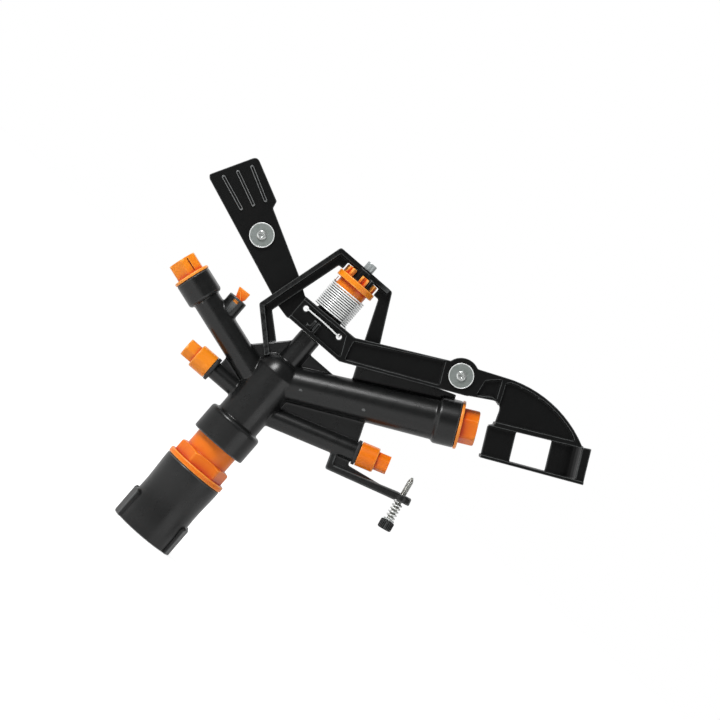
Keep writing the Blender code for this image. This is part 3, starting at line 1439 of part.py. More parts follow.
def arm_spring_points():
    """Coil on the hub, with a leg through its top and across its front."""
    low = HUB_TOP + SEAT_GAP + SPRING_WIRE / 2
    high = RETAINER_BASE - SEAT_GAP - SPRING_WIRE / 2
    winding = coil(SPRING_RADIUS, low, high, SPRING_TURNS, SPRING_POINTS)
    reach = leg_reach()
    drop = leg_height()
    behind = ARM_WEB_BACK + 2.0 * MM
    before = ARM_WEB_FRONT - SPRING_WIRE / 2 - 0.6 * MM
    corners = [
        Vector((-reach, behind - 0.6 * MM, drop + 0.4 * MM)),
        Vector((-reach, before, drop + 0.4 * MM)),
        Vector((0, before, drop + LEG_ARCH)),
        Vector((reach, before, drop)),
        Vector((reach, behind, drop)),
        Vector((reach - 0.4 * MM, behind, low)),
        winding[0] + Vector((0, -2.4 * MM, 0)),
    ]
    leg = rounded_path(corners, 1.1 * MM)
    return leg + winding


def arm_hub():
    """Box-shaped hub with a boss for the bushes and an open pocket on each side."""
    outline = [
        (-HUB_REAR, HUB_BASE),
        (HUB_FRONT, HUB_BASE),
        (HUB_FRONT + 1.6 * MM, HUB_BASE + 0.8 * MM),
        (HUB_FRONT - 1.2 * MM, HUB_TOP),
        (-HUB_REAR, HUB_TOP - 0.6 * MM),
    ]
    hub = prism("impact_arm", outline, ARM_FRONT, HUB_BACK_DEPTH)
    square = [outline[0], (HUB_FRONT + 1.6 * MM, HUB_BASE), outline[3], outline[4]]
    walls = [HUB_WALL, HUB_RIB, HUB_WALL, -2 * MM]
    cut(hub, prism("front_pocket", inset(square, walls), ARM_FRONT - MM, ARM_WEB_FRONT))
    walls[3] = HUB_WALL
    cut(hub, prism("back_pocket", inset(square, walls), ARM_WEB_BACK, HUB_BACK_DEPTH + MM))
    sleeve_radius = RETAINER_SKIRT_RADIUS - RETAINER_SKIRT_WALL - RUN_GAP
    sleeve_top = RETAINER_BASE - RETAINER_TRAVEL - LOOSE_GAP
    join(hub, rod("hub_boss", HUB_BOSS_RADIUS, HUB_BASE + 0.5 * MM, HUB_TOP - 0.5 * MM, TUBE_STEPS))
    join(hub, rod("hub_sleeve", sleeve_radius, HUB_TOP - HUB_WALL / 2, sleeve_top, TUBE_STEPS))
    wire_z = leg_height() - SPRING_WIRE
    rib = box(
        "rib", (-1.4 * MM, ARM_FRONT, HUB_BASE + MM), (0.5 * MM, ARM_WEB_BACK - MM, wire_z - 0.6 * MM)
    )
    hook_outline = [
        (-6.6 * MM, HUB_BASE + 1 * MM),
        (-2.5 * MM, HUB_BASE + 1 * MM),
        (-2.5 * MM, wire_z - 0.6 * MM),
        (-4.4 * MM, wire_z - 0.6 * MM),
        (-4.4 * MM, HUB_BASE + 4.9 * MM),
        (-6.6 * MM, HUB_BASE + 4.9 * MM),
    ]
    hook = prism("hook", hook_outline, ARM_WEB_FRONT - 1.2 * MM, ARM_WEB_BACK - MM)
    join(hub, rib, hook)
    for side in (-1, 1):
        hole = rod("leg_hole", LEG_HOLE_RADIUS, ARM_FRONT - MM, ARM_WEB_BACK + MM, SMALL_STEPS // 2)
        cut(hub, lay(hole, (side * leg_reach(), 0, leg_height()), (0, 1, 0)))
    top_hole = rod("top_hole", LEG_HOLE_RADIUS - 0.2 * MM, HUB_TOP - 6 * MM, HUB_TOP + MM, SMALL_STEPS // 2)
    cut(hub, lay(top_hole, (leg_reach() - 0.3 * MM, ARM_WEB_BACK + 2.0 * MM, 0), (0, 0, 1)))
    return hub


def beam_lines():
    """Start, direction and upward side of the beam's lower edge."""
    start = Vector((HUB_FRONT + 0.2 * MM, HUB_BASE))
    run = Vector((math.cos(BEAM_ANGLE), math.sin(BEAM_ANGLE)))
    return start, run, Vector((-run.y, run.x))


def fin_start():
    """Corner where the fin's arched edge begins, above the beam's end."""
    return Vector(MAIN.point(SPOON_START + FIN_START_AHEAD, FIN_START_ABOVE))


def fin_curve():
    """Arched upper edge of the fin, as an arc through its start, its peak and its end."""
    start = fin_start()
    peak = start + Vector((FIN_PEAK_RUN, FIN_CREST))
    end = Vector(MAIN.point(SPOON_END - POST_WIDTH - 0.6 * MM, SPOON_HIGH + 0.4 * MM))
    centre, radius = circle_through(start, peak, end)
    first = math.atan2(*(start - centre).yx)
    last = math.atan2(*(end - centre).yx)
    steps = 12
    angles = [first + (last - first) * step / steps for step in range(steps + 1)]
    return [(centre.x + radius * math.cos(a), centre.y + radius * math.sin(a)) for a in angles]


def circle_through(one, two, three):
    """Centre and radius of the circle through three points."""
    a, b = two - one, three - one
    scale = 2 * (a.x * b.y - a.y * b.x)
    x = (b.y * a.length_squared - a.y * b.length_squared) / scale
    y = (a.x * b.length_squared - b.x * a.length_squared) / scale
    return one + Vector((x, y)), math.hypot(x, y)


def arm_beam():
    """Channel beam from the hub to the fin, with the front weight's boss."""
    start, run, up = beam_lines()
    weight = Vector((WEIGHT_REACH, HUB_BASE + WEIGHT_RISE))
    reach = (weight - start).dot(run)
    low_end = start + run * (reach + 7.0 * MM)
    high_end = low_end + up * (BEAM_WIDTH + 2.4 * MM)
    high_start = start + up * BEAM_WIDTH
    outline = [tuple(start), tuple(low_end), tuple(high_end), tuple(high_start)]
    beam = prism("beam", outline, ARM_FRONT, ARM_STOP)
    boss = rod("weight_boss", WEIGHT_BOSS_RADIUS, ARM_FRONT, ARM_STOP, TUBE_STEPS)
    pocket_end = start + run * (reach - WEIGHT_BOSS_RADIUS - 0.4 * MM)
    pocket = [
        tuple(start + run * (HUB_RIB + 1.2 * MM) + up * ARM_RIM),
        tuple(pocket_end + up * ARM_RIM),
        tuple(pocket_end + up * (BEAM_WIDTH - ARM_RIM + 3.0 * MM)),
        tuple(start + run * (HUB_RIB + 3.0 * MM) + up * (BEAM_WIDTH - ARM_RIM)),
    ]
    cut(beam, prism("front_pocket", pocket, ARM_FRONT - MM, ARM_WEB_FRONT))
    cut(beam, prism("back_pocket", pocket, ARM_WEB_BACK, ARM_STOP + MM))
    join(beam, lay(boss, (weight.x, 0, weight.y), (0, 1, 0)))
    return beam


def fin_outline():
    """Outer edge of the fin with the arch over the main nozzle's tip."""
    start, run, up = beam_lines()
    weight = Vector((WEIGHT_REACH, HUB_BASE + WEIGHT_RISE))
    reach = (weight - start).dot(run)
    low_start = start + run * (reach + 3.0 * MM)
    wall_foot = MAIN.point(SPOON_START + 0.4 * MM, WINDOW_TOP)
    rib_end = MAIN.point(SPOON_END - POST_WIDTH - 0.6 * MM, WINDOW_TOP)
    boss_top = (weight.x + 4.0 * MM, weight.y + WEIGHT_BOSS_RADIUS - 1.6 * MM)
    corners = [
        tuple(low_start),
        (*MAIN.point(SPOON_START + ARCH_AHEAD, ARCH_ABOVE), ARCH_RADIUS),
        MAIN.point(SPOON_START + 3.6 * MM, WINDOW_TOP + 1.1 * MM),
        wall_foot,
        rib_end,
    ]
    return rounded(corners) + list(reversed(fin_curve())) + [boss_top]


def arm_spoon():
    """Fin above the jet and the spoon that the jet strikes, with its window and curved vane."""
    outline = fin_outline()
    fin = prism("fin", outline, ARM_FRONT, SPOON_BACK_DEPTH)
    curve = fin_curve()
    start, run, up = beam_lines()
    weight = Vector((WEIGHT_REACH, HUB_BASE + WEIGHT_RISE))
    wall_top = fin_start() + Vector((1.0 * MM, -ARM_RIM))
    wall_low = Vector(MAIN.point(SPOON_START + 3.4 * MM, WINDOW_TOP + FIN_RIB))
    rib_far = MAIN.point(SPOON_END - FIN_TIP, WINDOW_TOP + FIN_RIB)
    shallow = [(x, z - ARM_RIM) for x, z in curve[1:-1]]
    shallow = [point for point in shallow if point[1] > jet_line(point[0], WINDOW_TOP + FIN_RIB) + MM]
    fin_pocket = [tuple(wall_low), rib_far, *reversed(shallow), tuple(wall_top + Vector((2 * MM, 0)))]
    cut(fin, prism("fin_front", fin_pocket, ARM_FRONT - MM, ARM_WEB_FRONT))
    cut(fin, prism("fin_back", fin_pocket, ARM_WEB_BACK, SPOON_BACK_DEPTH + MM))
    reach = (weight - start).dot(run)
    low = start + run * (reach + WEIGHT_BOSS_RADIUS + 1.0 * MM) + up * ARM_RIM
    low_far = start + run * (reach + LINK_LENGTH) + up * (ARM_RIM + 1.4 * MM)
    link_pocket = [
        tuple(low),
        tuple(low_far),
        tuple(wall_top + (wall_low - wall_top) * 0.52 - Vector((ARM_RIM, 0))),
        tuple(wall_top - Vector((ARM_RIM * 0.6, 0))),
        (low.x - 1.6 * MM, weight.y + WEIGHT_BOSS_RADIUS - 3.4 * MM),
    ]
    cut(fin, prism("link_front", link_pocket, ARM_FRONT - MM, ARM_WEB_FRONT))
    above = weight.y + 2 * BEAM_WIDTH
    behind = [tuple(low - run * LINK_LENGTH - up * ARM_RIM * 3), tuple(low_far - up * BEAM_WIDTH * 0.75)]
    behind += [(low_far.x, above), (low.x - LINK_LENGTH, above)]
    cut(fin, prism("link_back", behind, ARM_STOP, SPOON_BACK_DEPTH + MM))

    frame_corners = [
        MAIN.point(SPOON_START, -SPOON_LOW),
        MAIN.point(SPOON_END, -SPOON_LOW - SPOON_DROOP),
        MAIN.point(SPOON_END, SPOON_HIGH),
        MAIN.point(SPOON_END - POST_WIDTH - 0.8 * MM, SPOON_HIGH - 0.2 * MM),
        MAIN.point(SPOON_END - POST_WIDTH - 0.8 * MM, WINDOW_TOP),
        MAIN.point(SPOON_START, WINDOW_TOP - 0.4 * MM),
    ]
    flange = [
        frame_corners[0],
        frame_corners[1],
        MAIN.point(SPOON_END, -SPOON_LOW - SPOON_DROOP + SPOON_WALL),
        MAIN.point(SPOON_START, -SPOON_LOW + SPOON_WALL),
    ]
    spoon = prism("flange", flange, ARM_FRONT, SPOON_BACK_DEPTH)
    wall = prism("wall", frame_corners, ARM_WEB_FRONT, ARM_WEB_BACK)
    window = [
        MAIN.point(WINDOW_START, -SPOON_LOW + SPOON_WALL - 0.2 * MM),
        MAIN.point(WINDOW_END, -SPOON_LOW + SPOON_WALL - 0.8 * MM),
        MAIN.point(WINDOW_END, WINDOW_TOP),
        MAIN.point(WINDOW_START, WINDOW_TOP),
    ]
    bend = [
        MAIN.point(VANE_START, -SPOON_LOW - 4 * MM),
        MAIN.point(SPOON_END - POST_WIDTH, -SPOON_LOW - 4 * MM),
        MAIN.point(SPOON_END - POST_WIDTH, SPOON_HIGH + 4 * MM),
        MAIN.point(VANE_START, SPOON_HIGH + 4 * MM),
    ]
    cut(wall, prism("window", window, ARM_FRONT, 0.0), prism("bend", bend, ARM_FRONT, 0.0))
    # The end post is left free of the wall, and the lower flange carries both.
    join(spoon, curved_vane())
    join(fin, spoon)
    join(fin, wall)
    return fin


def jet_line(x, above):
    """Height of a line at a distance above the main jet's axis."""
    return MAIN.height + x * math.tan(MAIN_ANGLE) + above / math.cos(MAIN_ANGLE)


def curved_vane():
    """Vane that bends away from the front, across the jet, to throw the water backwards."""
    steps = 8
    depth = SPOON_BACK_DEPTH - ARM_WEB_FRONT - 1.0 * MM
    front, back = [], []
    for step in range(steps + 1):
        angle = VANE_BEND * step / steps
        along = VANE_START + VANE_LENGTH * math.sin(angle) / math.sin(VANE_BEND)
        away = ARM_WEB_FRONT + depth * (1 - math.cos(angle)) / (1 - math.cos(VANE_BEND))
        front.append((along, away))
        inward = along - ARM_WEB_THICKNESS * math.sin(angle)
        back.append((inward, away + ARM_WEB_THICKNESS * math.cos(angle)))
    front[0] = (VANE_START - 1 * MM, ARM_WEB_FRONT)
    back[0] = (VANE_START - 1 * MM, ARM_WEB_BACK)
    shape = bmesh.new()
    section = front + list(reversed(back))
    low = -SPOON_LOW - SPOON_DROOP + SPOON_WALL * 0.5
    lower, upper = [], []
    for along, depth_y in section:
        x, z = MAIN.point(along, low)
        lower.append(shape.verts.new((x, depth_y, z)))
        x, z = MAIN.point(along, WINDOW_TOP + 1.0 * MM)
        upper.append(shape.verts.new((x, depth_y, z)))
    shape.faces.new(lower)
    shape.faces.new(list(reversed(upper)))
    count = len(section)
    for index in range(count):
        after = (index + 1) % count
        shape.faces.new((lower[index], upper[index], upper[after], lower[after]))
    return link_mesh("vane", shape)


def arm_paddle():
    """Flat rear half of the arm behind the bridge's leg, with beads across its end."""
    outline = rounded(
        [
            (-HUB_REAR + 1.0 * MM, HUB_BASE + 0.4 * MM),
            (-HUB_REAR - 1.0 * MM, HUB_BASE - 0.7 * MM, 2.0 * MM),
            (-26.9 * MM, HUB_BASE + 1.2 * MM),
            (-PADDLE_END_REACH + 1.8 * MM, HUB_BASE + PADDLE_END_RISE - 1.6 * MM, PADDLE_CORNER),
            (-PADDLE_END_REACH, HUB_BASE + PADDLE_END_RISE + 0.4 * MM, 1.0 * MM),
            (-PADDLE_TOP_REACH - 1.4 * MM, HUB_BASE + PADDLE_TOP_RISE, PADDLE_CORNER),
            (-PADDLE_STEP_REACH, HUB_BASE + PADDLE_STEP_RISE, 0.4 * MM),
            (-PADDLE_STEP_REACH + 1.0 * MM, HUB_BASE + PADDLE_STEP_RISE - PADDLE_STEP_DROP),
            (-29.7 * MM, HUB_TOP + 6.4 * MM),
            (-18.6 * MM, HUB_TOP - 0.6 * MM, 2.0 * MM),
            (-HUB_REAR + 1.0 * MM, HUB_TOP - 1.0 * MM),
        ]
    )
    paddle = prism("paddle", outline, PADDLE_FRONT, PADDLE_BACK)
    for index in range(BEAD_COUNT):
        angle = math.radians(-27.5 + 3.6 * index)
        first = Vector((-PADDLE_TOP_REACH - 0.5 * MM, HUB_BASE + PADDLE_TOP_RISE - BEAD_BELOW))
        start = first + Vector((-4.5, -7.9)) * MM * index
        middle = start + Vector((math.cos(angle), math.sin(angle))) * BEAD_LENGTH / 2
        bead = bead_shape()
        place = Matrix.Translation((middle.x, PADDLE_FRONT, middle.y)) @ Matrix.Rotation(-angle, 4, "Y")
        bead.matrix_world = place
        join(paddle, bead)
    return paddle


def bead_shape():
    """Long raised bead with round ends and sloping sides, standing out towards -Y."""
    half = BEAD_LENGTH / 2 - BEAD_WIDTH / 2
    shape = bmesh.new()
    rings = []
    for depth, radius in ((0.4 * MM, BEAD_WIDTH / 2), (-BEAD_HEIGHT, BEAD_WIDTH / 2 - BEAD_HEIGHT)):
        loop = []
        for step in range(10):
            angle = -math.pi / 2 + math.pi * (step % 5) / 4 + (math.pi if step >= 5 else 0.0)
            x = (half if step < 5 else -half) + radius * math.cos(angle)
            loop.append(shape.verts.new((x, depth, radius * math.sin(angle))))
        rings.append(loop)
    for index in range(10):
        after = (index + 1) % 10
        shape.faces.new((rings[0][index], rings[0][after], rings[1][after], rings[1][index]))
    shape.faces.new(rings[0])
    shape.faces.new(list(reversed(rings[1])))
    return link_mesh("bead", shape)


def retainer_piece(materials, carrier):
    """Orange cap over the spring, with tabs whose gaps straddle the bridge's web."""
    skirt = RETAINER_SKIRT_RADIUS
    low = RETAINER_BASE - RETAINER_SKIRT_DEPTH
    bore = PIN_RADIUS + RUN_GAP
    retainer = turned(
        "spring_retainer",
        [
            (bore, RETAINER_BASE),
            (skirt - RETAINER_SKIRT_WALL, RETAINER_BASE),
            (skirt - RETAINER_SKIRT_WALL, low),
            (skirt, low),
            (skirt, RETAINER_BASE),
            (RETAINER_RADIUS, RETAINER_BASE),
            (RETAINER_RADIUS, RETAINER_TOP),
            (bore, RETAINER_TOP),
        ],
        FINE_STEPS,
    )
    inner = RETAINER_TAB_OUTER - RETAINER_TAB_WALL
    tab_steps = 3
    for index in range(RETAINER_TABS):
        middle = -math.pi / 2 + RETAINER_TURN + 2 * math.pi * index / RETAINER_TABS
        angles = [
            middle + RETAINER_TAB_ANGLE * (step / tab_steps - 0.5) for step in range(tab_steps + 1)
        ]
        section = [(RETAINER_TAB_OUTER * math.cos(a), RETAINER_TAB_OUTER * math.sin(a)) for a in angles]
        section += [(inner * math.cos(a), inner * math.sin(a)) for a in reversed(angles)]
        shape = bmesh.new()
        face = shape.faces.new([shape.verts.new((x, y, RETAINER_TOP - MM)) for x, y in section])
        grown = bmesh.ops.extrude_face_region(shape, geom=[face])
        moved = [part for part in grown["geom"] if isinstance(part, bmesh.types.BMVert)]
        bmesh.ops.translate(shape, vec=(0, 0, RETAINER_TAB_HEIGHT + MM), verts=moved)
        join(retainer, link_mesh("tab", shape))
    complete(carry(retainer, carrier), materials["orange"], carrier)


def tap_piece(materials, carrier):
    """Orange plug in the rear tube's boss, with its wedge-shaped flag."""
    x, z = REAR.point(TAP_REACH / math.cos(math.pi - REAR_ANGLE))
    top = z + TAP_BOSS_RISE
    stem = TAP_PLUG_RADIUS * 0.6
    plug = turned(
        "jet_tap",
        [
            (0.0, top - TAP_PLUG_DEPTH),
            (TAP_PLUG_RADIUS, top - TAP_PLUG_DEPTH),
            (TAP_PLUG_RADIUS, top),
            (stem, top + 0.3 * MM),
            (0.0, top + 0.3 * MM),
        ],
        SMALL_STEPS,
    )
    lay(plug, (x, 0, 0), (0, 0, 1))
    flag_top = top + TAP_FLAG_HEIGHT
    front = TAP_FLAG_LENGTH * 0.47
    flag = prism(
        "flag",
        [
            (x - front * 0.55, top - MM),
            (x + front, top - MM),
            (x + front, flag_top),
            (x + front - TAP_FLAG_LENGTH, flag_top - 0.3 * MM),
            (x + front - TAP_FLAG_LENGTH, flag_top - 1.2 * MM),
            (x - front * 0.7, top + 0.8 * MM),
        ],
        -TAP_FLAG_THICKNESS / 2,
        TAP_FLAG_THICKNESS / 2,
    )
    # The flag's foot stays inside the plug below the boss's rim.
    foot_room = ring("foot_room", TAP_PLUG_RADIUS, 2 * TAP_FLAG_LENGTH, top - 3 * MM, top + SEAT_GAP)
    cut(flag, lay(foot_room, (x, 0, 0), (0, 0, 1)))
    join(plug, flag)
    complete(carry(plug, carrier), materials["orange"], carrier)


def breaker_pieces(materials, carriage, turning):
    """Screw that breaks up the lower jet, with its knob, washer and spring."""
    centre, up = breaker_axis()
    hole_half = BREAKER_BLOCK_HEIGHT / 2
    spring_top = -hole_half - SEAT_GAP
    spring_base = spring_top - BREAKER_SPRING_LENGTH
    washer_top = spring_base - SEAT_GAP
    washer_base = washer_top - BREAKER_WASHER_THICKNESS
    knob_top = washer_base - SEAT_GAP
    knob_base = knob_top - KNOB_HEIGHT
    tip = hole_half + BREAKER_PROUD

    washer = ring(
        "breaker_washer",
        BREAKER_SCREW_RADIUS + SEAT_GAP,
        KNOB_RADIUS * 0.8,
        washer_base,
        washer_top,
    )
    complete(carry(lay(washer, centre, up), carriage), materials["zinc"], carriage)

    radius = BREAKER_SCREW_RADIUS + BREAKER_WIRE / 2 + SEAT_GAP
    points = coil(
        radius + 0.15 * MM,
        spring_base + BREAKER_WIRE / 2,
        spring_top - BREAKER_WIRE / 2,
        BREAKER_TURNS,
        SPRING_POINTS,
    )
    print_least_gap("breaker_spring", points, BREAKER_WIRE, SPRING_POINTS // 2)
    spring = solid_wire("breaker_spring", points, BREAKER_WIRE)
    complete(carry(lay(spring, centre, up), carriage), materials["spring"], carriage)

    screw = turned(
        "breaker_screw",
        [
            (0.0, knob_base + 1.6 * MM),
            (BREAKER_SCREW_RADIUS, knob_base + 1.6 * MM),
            (BREAKER_SCREW_RADIUS, tip - 3.2 * MM),
            (BREAKER_SCREW_RADIUS * 0.45, tip - 0.5 * MM),
            (0.0, tip),
        ],
        SMALL_STEPS // 2,
    )
    complete(carry(lay(screw, centre, up), turning), materials["zinc"], turning)

    knob = turned(
        "breaker_knob",
        [
            (0.0, knob_base),
            (KNOB_RADIUS - 0.5 * MM, knob_base),
            (KNOB_RADIUS, knob_base + 0.5 * MM),
            (KNOB_RADIUS, knob_top - 0.5 * MM),
            (KNOB_RADIUS - 0.5 * MM, knob_top),
            (0.0, knob_top),
        ],
        TUBE_STEPS,
    )
    cut(
        knob,
        rod(
            "screw_seat", BREAKER_SCREW_RADIUS + SEAT_GAP, knob_base + 1.3 * MM, knob_top + MM, SMALL_STEPS
        ),
    )
    for index in range(KNOB_FLUTES):
        angle = 2 * math.pi * index / KNOB_FLUTES
        flute = rod("flute", 0.55 * MM, knob_base - MM, knob_top + MM, 6)
        flute_reach = KNOB_RADIUS + 0.1 * MM
        flute.location = (flute_reach * math.cos(angle), flute_reach * math.sin(angle), 0)
        cut(knob, flute)
    complete(carry(lay(knob, centre, up), turning), materials["black"], turning)


def build():
    clear_scene()
    finishes = {
        "black": BLACK_PLASTIC,
        "orange": ORANGE_PLASTIC,
        "rubber": RUBBER,
        "white": WHITE_PLASTIC,
        "zinc": ZINC_STEEL,
        "spring": SPRING_STEEL,
    }
    materials = {name: finish_material(name, finish) for name, finish in finishes.items()}
    head = pivot("head_axis", (0, 0, 0))
    arm = pivot("arm_axis", (0, 0, HUB_BASE), head)
    cap = pivot("retainer_axis", (0, 0, RETAINER_BASE), head)
    tap_x, tap_z = REAR.point(TAP_REACH / math.cos(math.pi - REAR_ANGLE))
    tap = pivot("tap_axis", (tap_x, 0, tap_z + TAP_BOSS_RISE), head)
    centre, up = breaker_axis()
    carriage = pivot("breaker_slide", centre, head, up)
    turning = pivot("breaker_axis", centre, carriage, up)

    base_pieces(materials)
    bearing_pieces(materials, head)
    body_pieces(materials, head)
    insert_pieces(materials, head)
    bridge_pieces(materials, head)
    arm_pieces(materials, arm)
    retainer_piece(materials, cap)
    tap_piece(materials, tap)
    breaker_pieces(materials, carriage, turning)


build()
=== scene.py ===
"""Impact sprinkler with four nozzles: finished surfaces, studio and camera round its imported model.

The origin is on the riser's axis at the socket's lower face. +Z runs up the riser, +X towards
the main nozzle and -Y is the front, where the photograph was taken from.
"""

import json
import logging
import math
from collections.abc import Callable, Sequence
from dataclasses import dataclass, replace
from enum import Enum

import bmesh
import bpy
from mathutils import Matrix, Vector

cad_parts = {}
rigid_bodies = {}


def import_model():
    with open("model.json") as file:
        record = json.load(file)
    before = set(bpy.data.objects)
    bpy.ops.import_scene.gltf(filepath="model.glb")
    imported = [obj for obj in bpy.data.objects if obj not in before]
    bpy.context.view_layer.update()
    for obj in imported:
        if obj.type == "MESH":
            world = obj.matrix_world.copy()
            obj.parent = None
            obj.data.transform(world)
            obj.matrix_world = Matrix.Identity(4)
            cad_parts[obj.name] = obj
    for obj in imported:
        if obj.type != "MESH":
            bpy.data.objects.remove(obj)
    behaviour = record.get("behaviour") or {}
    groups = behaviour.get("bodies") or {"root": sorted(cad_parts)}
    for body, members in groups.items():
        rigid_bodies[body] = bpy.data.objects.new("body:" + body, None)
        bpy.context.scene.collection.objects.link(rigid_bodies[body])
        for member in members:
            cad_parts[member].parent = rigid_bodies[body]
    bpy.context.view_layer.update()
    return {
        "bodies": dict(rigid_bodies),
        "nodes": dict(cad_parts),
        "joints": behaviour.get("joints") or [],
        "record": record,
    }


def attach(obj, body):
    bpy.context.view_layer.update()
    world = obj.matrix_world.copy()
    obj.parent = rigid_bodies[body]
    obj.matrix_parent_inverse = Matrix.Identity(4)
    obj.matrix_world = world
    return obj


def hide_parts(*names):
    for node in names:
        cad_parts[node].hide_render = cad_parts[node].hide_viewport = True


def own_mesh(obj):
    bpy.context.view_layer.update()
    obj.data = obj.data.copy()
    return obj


LOG = logging.getLogger("sprinkler")
MM = 0.001
UP = (0, 0, 1)
FRONT = (0, -1, 0)
COIL_STEPS = 32

# Angles in degrees above which an edge stays hard
CRISP, USUAL, THREADED, SKIN, COILED = 30.0, 38.0, 50.0, 55.0, 60.0

Point = tuple[float, ...]
Colour = tuple[float, float, float]
Shape = Callable[[float, float, float], float]
Item = bpy.types.Object


# Shader nodes


class Port:
    """Output of a shader node, on which sums are written as plain expressions."""

    def __init__(self, web: "NodeWeb", socket: bpy.types.NodeSocket) -> None:
        """Keeps an output socket and the node web that it belongs to."""
        self.web = web
        self.socket = socket

    def sum_with(self, operation: str, other: "Port | float", swapped: bool = False) -> "Port":
        """Result of a Math node on this value and another, which comes first where swapped."""
        pair = (other, self) if swapped else (self, other)
        return self.web.node("ShaderNodeMath", {"operation": operation}, {0: pair[0], 1: pair[1]})

    def __add__(self, other: "Port | float") -> "Port":
        """Sum."""
        return self.sum_with("ADD", other)

    __radd__ = __add__

    def __sub__(self, other: "Port | float") -> "Port":
        """Difference."""
        return self.sum_with("SUBTRACT", other)

    def __rsub__(self, other: "Port | float") -> "Port":
        """Difference with this value taken away."""
        return self.sum_with("SUBTRACT", other, swapped=True)

    def __mul__(self, other: "Port | float") -> "Port":
        """Product."""
        return self.sum_with("MULTIPLY", other)

    __rmul__ = __mul__

    def larger(self, other: "Port | float") -> "Port":
        """The larger of two values."""
        return self.sum_with("MAXIMUM", other)


class NodeWeb:
    """Node tree of a material or world, filled by one method."""

    def __init__(self, tree: bpy.types.NodeTree) -> None:
        """Starts with a node tree that it empties."""
        self.tree = tree
        tree.nodes.clear()

    def node(
        self,
        kind: str,
        settings: dict[str, object] | None = None,
        inputs: dict[int | str, object] | None = None,
        output: int | str = 0,
    ) -> Port:
        """Adds a node, sets it up and links it.

        Args:
            kind: the node's type.
            settings: its properties, and "stops" for a colour ramp's (place, value) pairs.
            inputs: a value or a Port for each socket.
            output: the output that is handed back.

        Returns:
            That output.
        """
        made = self.tree.nodes.new(kind)
        for name, value in (settings or {}).items():
            if name == "stops":
                self.set_stops(made.color_ramp, value)
            else:
                setattr(made, name, value)
        for name, value in (inputs or {}).items():
            if isinstance(value, Port):
                self.tree.links.new(value.socket, made.inputs[name])
            else:
                made.inputs[name].default_value = value
        return Port(self, made.outputs[output])

    @staticmethod
    def set_stops(ramp: bpy.types.ColorRamp, stops: Sequence[tuple[float, float]]) -> None:
        """Places a ramp's grey stops.

        Args:
            ramp: the colour ramp.
            stops: (place, grey value) pairs.
        """
        while len(ramp.elements) < len(stops):
            ramp.elements.new(0.5)
        for element, (place, value) in zip(ramp.elements, stops):
            element.position = place
            element.color = (value, value, value, 1.0)

    def own_coordinates(self) -> Port:
        """Coordinates of the piece itself, in metres."""
        return self.node("ShaderNodeTexCoord", output="Object")

    def noise(self, size: float, detail: float = 2.0, stretch: Point = (1.0, 1.0, 1.0)) -> Port:
        """Noise with spots of a real size.

        Args:
            size: the size of a spot in metres.
            detail: the number of finer layers.
            stretch: how often the noise is squeezed along each axis.

        Returns:
            The noise's value, near 0.5.
        """
        inputs = {0: self.own_coordinates(), 1: stretch}
        squeezed = self.node("ShaderNodeVectorMath", {"operation": "MULTIPLY"}, inputs)
        inputs = {"Vector": squeezed, "Scale": 1.0 / size, "Detail": detail, "Roughness": 0.55}
        return self.node("ShaderNodeTexNoise", None, inputs)

    def ramp(self, value: Port, stops: Sequence[tuple[float, float]]) -> Port:
        """Value passed through a ramp of (place, grey value) stops."""
        return self.node("ShaderNodeValToRGB", {"stops": stops}, {"Fac": value})

    def shade_mask(self, depth: float, closed: float, clear: float) -> Port:
        """1 in the piece's recesses, where shade falls, and 0 on its open surfaces: the mask of painted
        shade.

        Args:
            depth: how far the air round a point is looked at, in metres.
            closed: share of free air at which it is 1.
            clear: share of free air at which it is 0.

        Returns:
            The value.
        """
        settings = {"samples": 8, "only_local": True}
        air = self.node("ShaderNodeAmbientOcclusion", settings, {"Distance": depth}, "AO")
        return self.ramp(air, ((closed, 1.0), (clear, 0.0)))

    def mix(self, share: Port | float, one: Port | Colour, two: Port | Colour) -> Port:
        """Mix of two colours.

        Args:
            share: how much of the second colour there is.
            one: the first colour.
            two: the second colour.

        Returns:
            The mixed colour.
        """
        first = one if isinstance(one, Port) else (*one, 1.0)
        second = two if isinstance(two, Port) else (*two, 1.0)
        settings = {"data_type": "RGBA", "clamp_factor": True}
        return self.node("ShaderNodeMix", settings, {0: share, 6: first, 7: second}, output=2)

    def bump(self, height: Port, depth: float) -> Port:
        """Normal with a fine relief, from its height of 0 to 1 and its real depth in metres."""
        return self.node("ShaderNodeBump", None, {"Strength": 1.0, "Distance": depth, "Height": height})

    def surface(self, inputs: dict[str, object]) -> None:
        """Principled shader with these inputs as the material's surface."""
        self.finish(self.node("ShaderNodeBsdfPrincipled", None, inputs))

    def finish(self, shader: Port, kind: str = "ShaderNodeOutputMaterial") -> None:
        """Links a shader to a new output node."""
        made = self.tree.nodes.new(kind)
        self.tree.links.new(shader.socket, made.inputs["Surface"])


def scaled(colour: Colour, factor: float) -> Colour:
    """Colour made lighter or darker by a factor."""
    return tuple(min(1.0, channel * factor) for channel in colour)


def blank(name: str) -> tuple[bpy.types.Material, NodeWeb]:
    """New material, and its node web to be filled."""
    material = bpy.data.materials.new(name)
    material.use_nodes = True
    return material, NodeWeb(material.node_tree)


# Finishes


